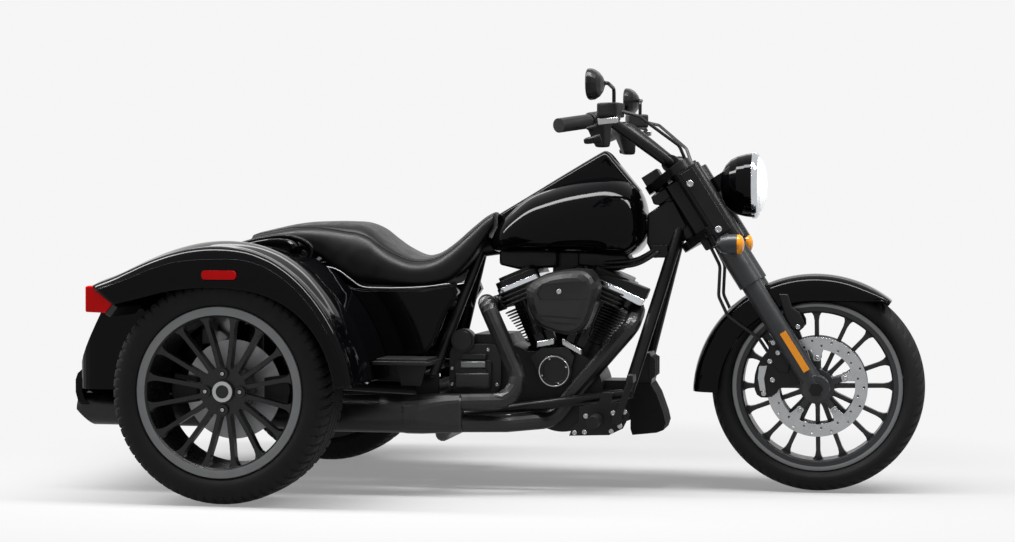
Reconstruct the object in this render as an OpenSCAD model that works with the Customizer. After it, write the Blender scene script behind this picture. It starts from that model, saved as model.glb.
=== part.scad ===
// Three-wheel motorcycle built as an assembly of separate parts.
// Millimetres. Plus X is forward, plus Y is the rider's left, plus Z is up.
// X is counted from the rear axle and Z from the ground.
// The whole model is then moved along X, so that the origin is under the middle of its box.

/* [Wheels] */
// Distance from the rear axle to the front axle
wheelbase = 1670; // [1620:5:1740]
// Distance from the centre plane to the middle of each rear tyre
half_track = 570; // [560:1:590]
// Outer radius of the front tyre
front_tyre_r = 319; // [312:1:322]
// Width of the front tyre
front_tyre_w = 130; // [124:1:134]
// Outer radius of a rear tyre
rear_tyre_r = 325; // [318:1:332]
// Width of a rear tyre
rear_tyre_w = 215; // [205:1:220]
// Number of spoke pairs in each wheel
spoke_pairs = 8; // [6:1:10]
// Thickness of a spoke seen from the side
spoke_t = 13; // [9:1:18]

/* [Steering and fork] */
// Lean of the fork from upright, in degrees
rake = 32; // [30:0.5:34]
// Distance from the steering axis forward to the fork legs
fork_offset = 84; // [76:1:90]
// Distance from the centre plane to each fork leg
fork_half_w = 122; // [120:1:130]
// Radius of the fork sliders
slider_r = 31; // [27:1:33]
// Radius of the handlebar tube
bar_r = 16; // [12:0.5:17]
// Height of the hand grips above the handlebar clamp
bar_rise = 112; // [80:1:150]
// Radius of the headlamp rim
headlamp_r = 102; // [85:1:108]

/* [Engine] */
// Height of the crankshaft above the ground
crank_z = 300; // [295:1:306]
// Half of the angle between the two cylinders, in degrees
v_half = 22.5; // [21:0.5:26]
// Number of cooling fins on each barrel
barrel_fins = 12; // [8:1:13]
// Thickness of a cooling fin
fin_t = 3.5; // [2:0.5:5]
// Radius of the exhaust pipes
pipe_r = 26; // [22:1:28]
// Radius of the mufflers
muffler_r = 56; // [46:1:58]

/* [Body] */
// Half of the greatest width of the fuel tank
tank_half_w = 172; // [150:1:185]
// Half of the greatest width of the seat
seat_half_w = 190; // [165:1:200]
// Half of the width of the luggage body between the rear wheels
trunk_half_w = 430; // [410:1:436]
// Thickness of the luggage body walls
wall_t = 8; // [5:0.5:12]
// Thickness of the fender sheets
fender_t = 4; // [3:0.5:6]

/* [Fits] */
// Gap between parts that are fixed together
fit_gap = 0.1; // [0.05:0.05:0.3]
// Gap between a turning part and the shaft that carries it
run_gap = 0.06; // [0.02:0.01:0.1]

/* [Hidden] */
$fn = 48;
nominal_wheelbase = 1670;
stretch_from = 100;
stretch_to = 560;
stretch = wheelbase - nominal_wheelbase;
tail_reach = 552;
x_mid = (wheelbase + front_tyre_r - tail_reach) / 2;

// Rims
front_seat_r = front_tyre_r - 77.7;
front_flange_r = front_seat_r + 12.7;
front_rim_half = 52;
rear_seat_r = rear_tyre_r - 96.4;
rear_flange_r = rear_seat_r + 17.4;
rear_rim_half = 98;
flange_t = 6;
front_barrel_t = 19;
rear_barrel_t = 12;
front_hub_half = 52;
front_hub_r = 52;
front_axle_r = 12.5;
rear_spindle_r = 22;
rear_hub_r = 70;
rear_hub_in = -30;
rear_hub_out = 52;
rear_lift = rear_tyre_r - 325;

// Fork, counted along the fork from the front axle
stem_r = 24;
head_r = 36;
head_along = 669;
head_half = 85;
clamp_t = 26;
fork_tube_r = 24.5;
bar_along = 802;
bar_forward = -17;
shroud_r = 37;
shroud_low = 365;
shroud_top = 492;
cover_low = 500;
cover_ahead = 18;

// Engine
crank_x = 905 + stretch;
case_half_w = 110;
case_r = 125;
deck_l = 165;
barrel_l = 135;
head_h = 45;
spacer_h = 14;
head_l = deck_l + barrel_l;
head_top_l = head_l + head_h;
rocker_l = head_top_l + spacer_h;
port_l = head_l + head_h / 2;

// Chassis
backbone_r = 27;
rail_r = 16;
rail_y = 182;
plate_y = 158;
cover_in_y = 165;
cover_out_y = 205;
axle_tube_r = 32;
shock_y = 255;
door_half_w = 325;
seat_base = 613;
seat_gap = 0.3;
door_t = 22;

// Helpers

function unit(v) = v / norm(v);

// X on the stretching middle of the vehicle
function sx(x) = x + stretch * min(1, max(0, (x - stretch_from) / (stretch_to - stretch_from)));

// World point from a place along the fork, ahead of it and to its left
function fork_pt(along, ahead = 0, y = 0) =
    [wheelbase - along * sin(rake) + ahead * cos(rake), y,
     front_tyre_r + along * cos(rake) + ahead * sin(rake)];

// World point in the frame of one cylinder, side 1 in front and -1 behind
function cyl_pt(side, x, y, l) =
    [crank_x + x * cos(v_half) + side * l * sin(v_half), y,
     crank_z - side * x * sin(v_half) + l * cos(v_half)];

function rect_pts(w, h, r, n = 5) =
    [for (c = [[1, 1, 0], [-1, 1, 90], [-1, -1, 180], [1, -1, 270]], i = [0 : n])
        [c[0] * (w / 2 - r) + r * cos(c[2] + 90 * i / n),
         c[1] * (h / 2 - r) + r * sin(c[2] + 90 * i / n)]];

function power(v, e) = sign(v) * pow(abs(v), e);

// Closed ring in a plane across X, widest at the share `belt` of its height
function body_ring(x, low, top, half_w, belt, e_low, e_top, n = 24) =
    let (zs = low + belt * (top - low))
    [for (i = [0 : n - 1])
        let (a = 360 * i / n, e = sin(a) < 0 ? e_low : e_top, h = sin(a) < 0 ? zs - low : top - zs)
        [x, half_w * power(cos(a), 2 / e), zs + h * power(sin(a), 2 / e)]];

module centred() {
    translate([-x_mid, 0, 0]) children();
}

module both_sides() {
    children();
    mirror([0, 1, 0]) children();
}

// Drawn in the plane of X and Z, pushed out from y0 to y1
module side_plate(y0, y1) {
    translate([0, y1, 0]) rotate([90, 0, 0]) linear_extrude(y1 - y0) children();
}

// Local Z runs from a to b
module between(a, b) {
    z = unit(b - a);
    x = unit(abs(z[2]) < 0.9 ? cross([0, 0, 1], z) : cross([1, 0, 0], z));
    y = cross(z, x);
    multmatrix([[x[0], y[0], z[0], a[0]], [x[1], y[1], z[1], a[1]],
                [x[2], y[2], z[2], a[2]], [0, 0, 0, 1]]) children();
}

module rod(a, b, r) {
    between(a, b) cylinder(h = norm(b - a), r = r);
}

// Closed line with its corners cut
function soften(p, share = 0.25) =
    let (n = len(p))
    [for (i = [0 : n - 1]) each [p[i] * (1 - share) + p[(i + 1) % n] * share,
                                 p[i] * share + p[(i + 1) % n] * (1 - share)]];

// Solid from a line in the plane of X and Z, drawn clockwise, scaled about c at each place along Y
module cushion(line, c, steps) {
    loft([for (s = steps) [for (p = line) [c[0] + (p[0] - c[0]) * s[1], s[0],
                                           c[1] + (p[1] - c[1]) * s[1]]]]);
}

function bend_at(bend, i) = is_list(bend) ? bend[i - 1] : bend;

// Middle line through corner points, each inner corner rounded to its bend radius
function bend_line(pts, bend, steps = 5) =
    let (n = len(pts), dirs = [for (i = [0 : n - 2]) unit(pts[i + 1] - pts[i])])
    [for (i = [0 : n - 1])
        if (i == 0 || i == n - 1) [pts[i], dirs[min(i, n - 2)]]
        else
            let (r = bend_at(bend, i), d0 = dirs[i - 1], d1 = dirs[i], turn = acos(d0 * d1),
                 c = pts[i] + unit(d1 - d0) * r / cos(turn / 2), x = unit(pts[i] - d0 * r * tan(turn / 2) - c))
            each [for (k = [0 : steps])
                let (a = turn * k / steps)
                [c + r * (x * cos(a) + d0 * sin(a)), d0 * cos(a) - x * sin(a)]]];

// Round bar along such a line; no part of it may run along `ref`
module bent_rod(pts, r, bend, ref = [0, 0, 1], n = 14) {
    loft([for (p = bend_line(pts, bend))
        let (x = unit(cross(ref, p[1])), y = cross(p[1], x))
        [for (i = [0 : n - 1]) p[0] + r * (x * cos(360 * i / n) + y * sin(360 * i / n))]]);
}

// Solid through closed rings of equal length
module loft(rings) {
    n = len(rings[0]);
    m = len(rings);
    sides = [for (j = [0 : m - 2], i = [0 : n - 1])
        let (a = j * n + i, b = j * n + (i + 1) % n)
        each [[a, b + n, b], [a, a + n, b + n]]];
    polyhedron([for (r = rings) each r],
               concat(sides, [[for (i = [0 : n - 1]) i], [for (i = [n - 1 : -1 : 0]) (m - 1) * n + i]]));
}

// Sheet between two open strips of lines of equal length
module sheet_loft(outer, inner) {
    m = len(outer);
    n = len(outer[0]);
    k = m * n;
    skin = [for (j = [0 : m - 2], i = [0 : n - 2])
        let (a = j * n + i)
        each [[a, a + n + 1, a + 1], [a, a + n, a + n + 1],
              [k + a, k + a + 1, k + a + n + 1], [k + a, k + a + n + 1, k + a + n]]];
    rims = [for (j = [0 : m - 2])
        let (a = j * n, b = j * n + n - 1)
        each [[a, k + a + n, a + n], [a, k + a, k + a + n],
              [b, b + n, k + b + n], [b, k + b + n, k + b]]];
    ends = [for (i = [0 : n - 2])
        let (b = (m - 1) * n + i)
        each [[i, i + 1, k + i + 1], [i, k + i + 1, k + i],
              [b, k + b + 1, b + 1], [b, k + b, k + b + 1]]];
    polyhedron(concat([for (r = outer) each r], [for (r = inner) each r]), concat(skin, rims, ends));
}

// Places children in the frame of the fork: Z up along it, X ahead of it
module on_fork(along = 0, ahead = 0, y = 0) {
    translate(fork_pt(along, ahead, y)) rotate([0, -rake, 0]) children();
}

module on_cylinder(side) {
    translate([crank_x, 0, crank_z]) rotate([0, side * v_half, 0]) children();
}

// Local Z points out to the right
module at_front_wheel() {
    translate([wheelbase, 0, front_tyre_r]) rotate([90, 0, 0]) children();
}

module at_rear_wheel() {
    translate([0, -half_track, rear_tyre_r]) rotate([90, 0, 0]) children();
}

// Wheels

// Share of the tyre's height, share of its half width
front_tyre_line = [[0, 0.69], [0.17, 0.69], [0.21, 0.80], [0.33, 0.96], [0.45, 1], [0.60, 0.97],
                   [0.74, 0.86], [0.86, 0.66], [0.95, 0.38], [1, 0.02]];
rear_tyre_line = [[0, 0.83], [0.19, 0.83], [0.23, 0.91], [0.35, 0.98], [0.5, 1], [0.68, 0.99],
                  [0.82, 0.95], [0.93, 0.84], [0.985, 0.6], [1, 0.3]];

module tyre(seat, r, w, bead, line) {
    h = r - seat;
    half = [for (p = line) [seat + p[0] * h, p[0] < 0.18 ? bead : p[1] * w / 2]];
    n = len(half);
    rotate_extrude($fn = 96)
        polygon(concat(half, [for (i = [n - 1 : -1 : 0]) [half[i][0], -half[i][1]]]));
}

module rim_ring(seat, flange, half, barrel) {
    rotate_extrude($fn = 96)
        polygon([[seat - barrel, -half + 6], [seat - barrel + 5, -half], [flange, -half],
                 [flange, -half + flange_t],
                 [seat - fit_gap, -half + flange_t], [seat - fit_gap, half - flange_t],
                 [flange, half - flange_t], [flange, half], [seat - barrel + 5, half], [seat - barrel,
                         half - 6]]);
}

// Spokes in pairs: the side view of one, cut to a width that flares out at the hub and at the rim
module spokes(line, r0, r1, half_angle, first) {
    w = spoke_t / 2;
    edge = [[r0, w * 1.4], [r0 + 18, w], [r1 - 26, w], [r1 - 12, w * 1.35], [r1 - 5, w * 1.9],
            [r1 + 3, w * 3]];
    n = len(edge);
    for (i = [0 : spoke_pairs - 1], s = [-1, 1])
        rotate([0, 0, first + 360 / spoke_pairs * i + s * half_angle * 8 / spoke_pairs]) intersection() {
            rotate([90, 0, 0]) linear_extrude(8 * w, center = true) polygon(line);
            linear_extrude(300, center = true)
                polygon(concat(edge, [for (i = [n - 1 : -1 : 0]) [edge[i][0], -edge[i][1]]]));
        }
}

module front_tyre() {
    color("#17181a") at_front_wheel()
        tyre(front_seat_r, front_tyre_r, front_tyre_w, front_rim_half - flange_t - 0.5, front_tyre_line);
}

module front_wheel() {
    rim_in = front_seat_r - front_barrel_t;
    color("#2c2d30") at_front_wheel() difference() {
        union() {
            rim_ring(front_seat_r, front_flange_r, front_rim_half, front_barrel_t);
            cylinder(h = 2 * front_hub_half, r = front_hub_r, center = true);
            spokes([[front_hub_r - 6, -22], [rim_in + 3, -13], [rim_in + 3, 13], [front_hub_r - 6, 22]],
                   front_hub_r - 6, rim_in, 9.7, 10.5);
            for (i = [0 : disc_lugs - 1], s = [-1, 1]) rotate([0, 0, 360 / disc_lugs * i + lug_turn])
                translate([front_hub_r - 6, -9,
                           s * (front_hub_half - 7) - 7]) cube([lug_r + 14 - front_hub_r, 18, 14]);
        }
        cylinder(h = 2 * front_hub_half + 2, r = front_axle_r + run_gap, center = true);
    }
}

disc_r = 150;
disc_in_r = 113;
disc_t = 5;
disc_lugs = 5;
lug_r = 88;
lug_turn = 18;

module front_discs() {
    color("#9a9c9f") at_front_wheel() for (s = [0, 1]) mirror([0, 0, s]) translate([0, 0, front_hub_half])
        linear_extrude(disc_t) difference() {
            circle(disc_r, $fn = 96);
            difference() {
                circle(disc_in_r, $fn = 96);
                for (i = [0 : disc_lugs - 1]) rotate(360 / disc_lugs * i + lug_turn)
                    polygon([[lug_r - 11, -7], [lug_r - 7, -11], [lug_r + 4, -11], [disc_in_r + 4, -19],
                             [disc_in_r + 4, 19], [lug_r + 4, 11], [lug_r - 7, 11], [lug_r - 11, 7]]);
            }
            for (i = [0 : 29])
                rotate(12 * i) translate([131.5 + 7.5 * (i % 2 == 0 ? 1 : -1), 0]) circle(3.5);
        }
}

module rear_tyre() {
    at_rear_wheel()
        tyre(rear_seat_r, rear_tyre_r, rear_tyre_w, rear_rim_half - flange_t - 0.5, rear_tyre_line);
}

module rear_wheel() {
    rim_in = rear_seat_r - rear_barrel_t;
    at_rear_wheel() difference() {
        union() {
            rim_ring(rear_seat_r, rear_flange_r, rear_rim_half, rear_barrel_t);
            translate([0, 0, rear_hub_in]) cylinder(h = rear_hub_out - rear_hub_in, r = rear_hub_r);
            spokes([[rear_hub_r - 10, 14], [150, 38], [rim_in + 3, 64], [rim_in + 3, 92], [150, 68],
                    [105, 58],
                    [rear_hub_r - 10, 50]], rear_hub_r - 10, rim_in, 11.25, 0);
            translate([0, 0, rear_hub_out - 1]) cylinder(h = 11, r = 33);
            for (i = [0 : 3])
                rotate([0, 0, 90 * i]) translate([52, 0, rear_hub_out - 1]) cylinder(h = 9, r = 10);
        }
        translate([0, 0, rear_hub_in - 1]) cylinder(h = 71, r = rear_spindle_r + run_gap);
    }
}

module rear_disc() {
    at_rear_wheel() difference() {
        union() {
            translate([0, 0, rear_hub_in - 18]) cylinder(h = 8, r = 145, $fn = 96);
            translate([0, 0, rear_hub_in - 18]) cylinder(h = 18, r = 66);
        }
        translate([0, 0, rear_hub_in - 19]) cylinder(h = 20, r = rear_spindle_r + 2);
    }
}

module rear_tyre_right() { color("#17181a") rear_tyre(); }
module rear_tyre_left() { color("#17181a") mirror([0, 1, 0]) rear_tyre(); }
module rear_wheel_right() { color("#3a3b3e") rear_wheel(); }
module rear_wheel_left() { color("#3a3b3e") mirror([0, 1, 0]) rear_wheel(); }
module rear_disc_right() { color("#9a9c9f") rear_disc(); }
module rear_disc_left() { color("#9a9c9f") mirror([0, 1, 0]) rear_disc(); }

// Frame

head_back = fork_pt(head_along - 20, -fork_offset - 20);
seat_top = [sx(640), 0, 733];
post_top = [sx(636), 12, 728];
post_low = [sx(512), plate_y + 10, 336];
rail_front = [sx(1130), rail_y, 302];
rail_rear = [sx(500), rail_y, 212];

module frame() {
    color("#1b1c1e") difference() {
        union() {
            on_fork(head_along - head_half, -fork_offset) cylinder(h = 2 * head_half, r = head_r);
            on_fork() side_plate(-34, 34)
                polygon([[-144, 702], [-104, 694], [-106, 636], [-158, 592], [-194, 584], [-204, 605]]);
            rod(head_back, seat_top, backbone_r);
            both_sides() {
                rod(fork_pt(head_along - 41, -fork_offset - 10, 18), [sx(1116), rail_y, 304], 18);
                rod(rail_front, rail_rear, rail_r);
                rod(post_top, post_low, 15);
                rod([sx(591), 70, 560], [-40, 200, 560], 15);
                translate([sx(466), plate_y, 205]) cube([68, 22, 145]);
            }
            translate([sx(1172), -60, 705]) cube([48, 120, 38]);
            translate([sx(862), -24, 640]) cube([86, 48, 110]);
            translate([sx(1066), -rail_y, 288]) cube([44, 2 * rail_y, 16]);
            translate([sx(590), -rail_y, 222]) cube([40, 2 * rail_y, 14]);
            translate([sx(585), -40, 200]) cube([50, 80, 30]);
            translate([-66, -285, 546]) cube([46, 570, 29]);
            translate([sx(380), -125, 560]) cube([46, 250, seat_base - seat_gap - 560]);
            rod([sx(430), -cover_in_y, 555], [sx(430), cover_in_y, 555], 12);
            rod([sx(1060), -rail_y - 38, 292], [sx(1060), rail_y + 38, 292], 12);
            rod([sx(470), -255, 345], [sx(470), 255, 345], 13);
        }
        on_fork(head_along - head_half - 40, -fork_offset) cylinder(h = 2 * head_half + 80,
                r = stem_r + run_gap);
    }
}

// Engine

module crankcase() {
    color("#232427") {
        side_plate(-case_half_w, case_half_w) union() {
            translate([crank_x, crank_z]) circle(case_r, $fn = 96);
            translate([stretch, 0])
                polygon([[572, 242], [640, 242], [900, 200], [1000, 300], [960, 430], [800, 418],
                         [752, 440],
                         [735, 470], [630, 470], [575, 420], [558, 320]]);
        }
        for (s = [-1, 1]) on_cylinder(s) cylinder(h = deck_l, r = 66);
        translate([stretch + 980, -60, 304]) cube([125, 120, 26]);
    }
}

module cylinders() {
    gap = (head_l - deck_l - 18) / barrel_fins;
    color("#2b2c2f") for (s = [-1, 1]) on_cylinder(s) {
        translate([0, 0, deck_l]) cylinder(h = head_l - deck_l, r = 57);
        for (i = [0 : barrel_fins - 1])
            translate([0, 0, deck_l + 12 + gap * i])
                cylinder(h = fin_t, r = 63 + 29 * i / (barrel_fins - 1), $fn = 64);
    }
}

module cylinder_heads() {
    color("#242528") for (s = [-1, 1]) on_cylinder(s) {
        translate([0, 0, head_l]) linear_extrude(head_h) polygon(rect_pts(122, 252, 20));
        for (i = [0 : 3])
            translate([0, 0, head_l + i * (head_h - 5) / 3]) linear_extrude(5) polygon(rect_pts(140,
                    280, 24));
        translate([s * 55, -60, port_l]) rotate([0, s * 90, 0]) cylinder(h = 17, r = 22);
    }
}

module rocker_spacers() {
    color("#b9bbbe") for (s = [-1, 1]) on_cylinder(s)
        translate([0, 0, head_top_l]) linear_extrude(spacer_h) polygon(rect_pts(140, 250, 22));
}

module rocker_covers() {
    color("#1d1e20") for (s = [-1, 1]) on_cylinder(s) translate([0, 0, rocker_l]) {
        linear_extrude(20) polygon(rect_pts(138, 240, 24));
        linear_extrude(32) polygon(rect_pts(114, 212, 26));
    }
}

module pushrod_tubes() {
    color("#c9cacc") for (s = [-1, 1], x = [-34, 2]) on_cylinder(s)
        translate([s * x, -118, 190]) {
            cylinder(h = head_l - 190, r = 10);
            cylinder(h = 26, r = 15);
            translate([0, 0, head_l - 190 - 16]) cylinder(h = 16, r = 14);
            translate([-12, -12, -40]) cube([24, 20, 40]);
        }
}

air_line = [[818, 606], [830, 633], [869, 657], [917, 670], [988, 677], [1018, 666], [1038, 631],
            [1033, 584],
            [1012, 519], [988, 486], [946, 476], [899, 486], [848, 509], [824, 553]];

module air_cleaner() {
    panel = [[859, 601], [874, 630], [1025, 640], [1021, 583], [869, 582]];
    color("#1c1d1f") translate([stretch, 0, 0]) difference() {
        union() {
            cushion(soften(air_line), [930, 580], [[-300, 0.62], [-298, 0.72], [-290, 0.86], [-278, 0.94],
                                                   [-262, 0.985], [-244, 1], [-184, 1], [-170, 0.95]]);
            for (p = [cyl_pt(1, -30, 0, port_l), cyl_pt(-1, 40, 0, port_l)])
                translate([p[0] - stretch, -140, p[2]]) rotate([90, 0, 0]) cylinder(h = 34, r = 16);
        }
        side_plate(-310, -293) polygon(panel);
        for (z = [541, 523]) side_plate(-310, -294) polygon([[846, z], [846, z - 5], [1004, z - 16],
                [1004, z - 11]]);
    }
}

module timing_cover() {
    color("#2a2b2e") translate([stretch, 0, 0]) {
        side_plate(-134, -case_half_w) translate([886, 362]) union() {
            circle(51, $fn = 72);
            polygon([[-76, 40], [-40, 70], [40, 70], [60, 44], [46, 0], [-54, 0]]);
        }
        side_plate(-144, -134) translate([886, 362]) circle(47, $fn = 72);
        side_plate(-150, -144) translate([886, 362]) difference() {
            circle(43, $fn = 72);
            circle(35, $fn = 72);
        }
    }
}

module transmission_cover() {
    color("#252629") translate([stretch, 0, 0]) {
        side_plate(-138, -case_half_w) translate([640, 366]) polygon(rect_pts(160, 150, 34));
        side_plate(-152, -138) translate([636, 348]) polygon(rect_pts(114, 90, 16));
        side_plate(-160, -152) translate([636, 340]) polygon(rect_pts(90, 56, 12));
        side_plate(-156, -138) translate([640, 403]) polygon(rect_pts(74, 15, 5));
        side_plate(-150, -case_half_w) translate([604, 452]) circle(36);
        side_plate(-158, -150) translate([604, 452]) circle(29);
    }
}

module primary_cover() {
    color("#1f2022") difference() {
        translate([stretch, 0, 0]) union() {
            side_plate(case_half_w, 172) union() {
                translate([crank_x - stretch, crank_z + 10]) circle(104, $fn = 72);
                translate([660, 350]) circle(112, $fn = 72);
                polygon([[905, 412], [660, 460], [650, 240], [905, 208]]);
            }
            side_plate(172, 184) translate([660, 350]) circle(80, $fn = 72);
            side_plate(172, 180) translate([905, 312]) circle(62, $fn = 72);
        }
        rod(rail_front, rail_rear, rail_r + 4);
        rod(post_top, post_low, 20);
        translate([sx(590) - 4, case_half_w - 1, 214]) cube([48, 80, 24]);
    }
}

muffler_y = 330;
muffler_z = 242;
tail_r = 48;

// Place along X, middle height, half height, half width, shift towards the centre plane
collector_line = [[440, 242, 53, 53, 0], [476, 242, 58, 57, 0], [520, 243, 59, 54, 0], [566, 245, 59,
        42, 2],
                  [604, 246, 58, 33, 4], [634, 246, 57, 29, 5], [640, 246, 52, 24, 5]];

// Ring across X with round top and bottom
function stadium_ring(x, y, z, half_h, r, n = 20) =
    [for (i = [0 : n - 1])
        let (a = 360 * (i + 0.5) / n)
        [x, y + r * cos(a), z + sign(sin(a)) * max(0, half_h - r) + r * sin(a)]];

module exhaust() {
    rear_out = cyl_pt(-1, -72 - fit_gap, -60, port_l);
    rear_dir = cyl_pt(-1, -112, -60, port_l);
    front_out = cyl_pt(1, 72 + fit_gap, -60, port_l);
    front_dir = cyl_pt(1, 112, -60, port_l);
    color("#161719") difference() {
        union() {
            bent_rod([rear_out, rear_dir, [sx(690), -225, 574], [sx(833), -276, 281], [sx(590), -326, 277]],
                     pipe_r, [30, 34, 72], ref = [1, -0.6, -0.3]);
            bent_rod([front_out, front_dir, [sx(1120), -138, 500], [sx(940), -138, 294], [sx(880), -138,
                    214],
                      [sx(760), -240, 210], [sx(590), -326, 215]], pipe_r, [30, 34, 60, 60,
                              60], ref = [0, 0.6, -1]);
            bent_rod([[sx(600), -300, 226], [sx(548), -190, 168], [sx(548), 190, 168],
                      [sx(590), muffler_y, muffler_z]], 22, 60);
            loft([for (t = collector_line) stadium_ring(sx(t[0]), -muffler_y + t[4], t[1], t[2], t[3])]);
            translate([0, muffler_y, muffler_z]) rotate([0, 90, 0]) rotate([0, 0, 90])
                translate([0, 0, sx(500)]) cylinder(h = 130, r1 = muffler_r, r2 = pipe_r + 6);
            both_sides() translate([0, -muffler_y, muffler_z]) rotate([0, 90, 0]) rotate([0, 0, 90]) {
                translate([0, 0, 150]) cylinder(h = sx(500) - 150, r = muffler_r);
                translate([0, 0, 60]) cylinder(h = 90, r1 = tail_r, r2 = muffler_r);
                translate([0, 0, -550]) cylinder(h = 610, r = tail_r);
            }
        }
        both_sides() {
            translate([-600, -muffler_y, muffler_z]) rotate([0, 90, 0]) cylinder(h = 180, r = tail_r - 4);
            side_plate(-muffler_y - 80, -muffler_y + 80)
                polygon([[-600, muffler_z + 4], [-552, muffler_z + 4], [-490, muffler_z - 66],
                         [-600, muffler_z - 66]]);
        }
    }
}

// Tank, console and seat

// Place along X, bottom, top, half width as a share of the greatest
tank_line = [[672, 732, 758, 0.30], [690, 722, 782, 0.48], [730, 718, 812, 0.66], [790, 718, 845, 0.80],
             [860, 717, 874, 0.90], [930, 716, 896, 0.96], [1000, 713, 909, 1], [1050, 708, 908, 0.99],
             [1095, 708, 895, 0.95], [1125, 720, 882, 0.87], [1145, 738, 866, 0.74], [1158, 762, 842, 0.56],
             [1164, 784, 818, 0.38]];

// Place along X, bottom, top, half width
console_line = [[690, 770, 838, 34], [786, 815, 894, 46], [880, 850, 950, 54], [958, 872, 996, 58],
                [1014, 880, 1028, 58], [1042, 874, 1004, 58], [1082, 862, 955, 55], [1130, 842, 904, 46]];

module tank_form() {
    loft([for (t = tank_line) body_ring(t[0] + stretch, t[1], t[2], t[3] * tank_half_w, 0.36, 3.4, 2.3)]);
}

module console_form(grow) {
    loft([for (t = console_line)
        body_ring(t[0] + stretch + (t[0] < 800 ? -grow : t[0] > 1100 ? grow : 0), t[1] - grow, t[2] + grow,
                  t[3] + grow, 0.5, 8, 3.6, 20)]);
}

module fuel_tank() {
    color("#0d0d0f") difference() {
        tank_form();
        console_form(fit_gap);
        between(head_back, seat_top) translate([-backbone_r - 2, -200, -20])
            cube([2 * backbone_r + 4, 200 + backbone_r + fit_gap, 640 + stretch]);
    }
}

module tank_console() {
    color("#101013") console_form(0);
}

// Place along X, base, top, half width as a share of the greatest
seat_line = [[-93, 748, 764, 0.42], [-76, 740, 780, 0.58], [-37, 736, 790, 0.70], [46, 735, 808, 0.78],
             [100, 722, 815, 0.80], [144, 704, 817, 0.82], [190, 670, 818, 0.85], [230, 638, 817, 0.88],
             [270, 620, 814, 0.92], [310, 614, 798, 0.97], [345, seat_base, 770, 1], [390, seat_base,
                     738, 1],
             [450, seat_base, 712, 0.97], [510, 614, 718, 0.89], [560, 628, 750, 0.76], [610, 678, 795,
                     0.60],
             [655, 752, 832, 0.46], [682, 800, 846, 0.34]];

module seat() {
    color("#141416") difference() {
        loft([for (t = seat_line) body_ring(sx(t[0]), t[1], t[2], t[3] * seat_half_w, 0.34, 5, 2.7)]);
        rod(head_back, seat_top + [-40, 0, -7], backbone_r + 3);
        both_sides() rod(post_top, post_low, 18);
    }
}

// Rear body

side_cover_line = [[152, 682], [190, 660], [230, 628], [270, 612], [303, 609], [340, 610], [500, 610],
                   [590, 626],
                   [600, 600], [560, 540], [520, 440], [488, 404], [350, 398], [318, 430], [294,
                           556], [210, 592],
                   [158, 630]];

module side_covers() {
    color("#111113") both_sides() {
        side_plate(cover_in_y, cover_out_y - 8) polygon([for (p = side_cover_line) [sx(p[0]), p[1]]]);
        side_plate(cover_out_y - 8, cover_out_y)
            polygon([for (p = side_cover_line) [sx(450 + (p[0] - 450) * 0.93), 510 + (p[1] - 510) * 0.93]]);
    }
}

trunk_line = [[112, 716], [60, 735], [0, 743], [-73, 739], [-145, 722], [-208, 700], [-265, 675],
              [-317, 652],
              [-378, 627], [-410, 604], [-440, 560], [-531, 375], [-531, 310], [-130, 310], [-130,
                      575], [112, 575]];
trunk_hollow = [[104, 694], [60, 712], [0, 721], [-73, 720], [-145, 711], [-208, 690], [-265, 665],
                [-317, 642],
                [-370, 617], [-402, 596], [-431, 557], [-522, 372], [-522, 318], [-138, 318], [-138,
                        583], [104, 583]];
shoulder_line = [[-95, 734], [-23, 753], [53, 766], [100, 761], [124, 744], [120, 730], [105, 712],
                 [60, 724],
                 [0, 733], [-60, 732]];
door_up = unit([-440, 560] - [-531, 375]);
door_out = [-door_up[1], door_up[0]];
door_foot = [-531, 375];
hinge_s = 29;
hinge_at = door_foot + door_up * hinge_s - door_out * door_t / 2;

// Point on the slanted rear wall: up along it, and in from its face
function slope_pt(s, in) = door_foot + door_up * s - door_out * in;

// Plan of the luggage body, its two rear corners rounded
module plan_corner(half, rear, r) {
    translate([0, 0, 200]) linear_extrude(620)
        polygon(concat([[130, -half], [130, half]],
                       [for (s = [1, -1], i = [0 : 6])
                           let (a = 90 + 15 * (s > 0 ? i : 6 - i))
                           [rear + r + r * cos(a), s * (half - r + r * sin(a))]]));
}

module trunk() {
    half = trunk_half_w;
    color("#101012") {
        difference() {
            union() {
                side_plate(-half, half) polygon(trunk_line);
                both_sides() cushion(soften(shoulder_line), [30, 742], [[206, 0.86], [212, 0.96],
                        [224, 1], [286, 1],
                                                                         [298, 0.96], [304, 0.86]]);
            }
            intersection() {
                side_plate(-half + wall_t, half - wall_t) polygon(trunk_hollow);
                plan_corner(half - wall_t, -522, 52);
            }
            difference() {
                translate([-600, -half - 50, 200]) cube([720, 2 * half + 100, 620]);
                plan_corner(half, -531, 60);
            }
            side_plate(-door_half_w - 5, door_half_w + 5)
                polygon([slope_pt(8, -20), slope_pt(196, -20), slope_pt(196, 40), slope_pt(8, 40)]);
            side_plate(-seat_half_w + 4, seat_half_w - 4) polygon([[-110, 731], [20, 731], [113, 712],
                    [113, 780], [-110, 780]]);
        }
        both_sides() {
            translate([hinge_at[0], door_half_w - 25, hinge_at[1]]) rotate([-90, 0, 0]) cylinder(h = 45,
                    r = 6);
            side_plate(door_half_w + 5, door_half_w + 21)
                polygon([slope_pt(8, 0), slope_pt(60, 0), slope_pt(60, 30), slope_pt(8, 30)]);
        }
    }
}

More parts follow.
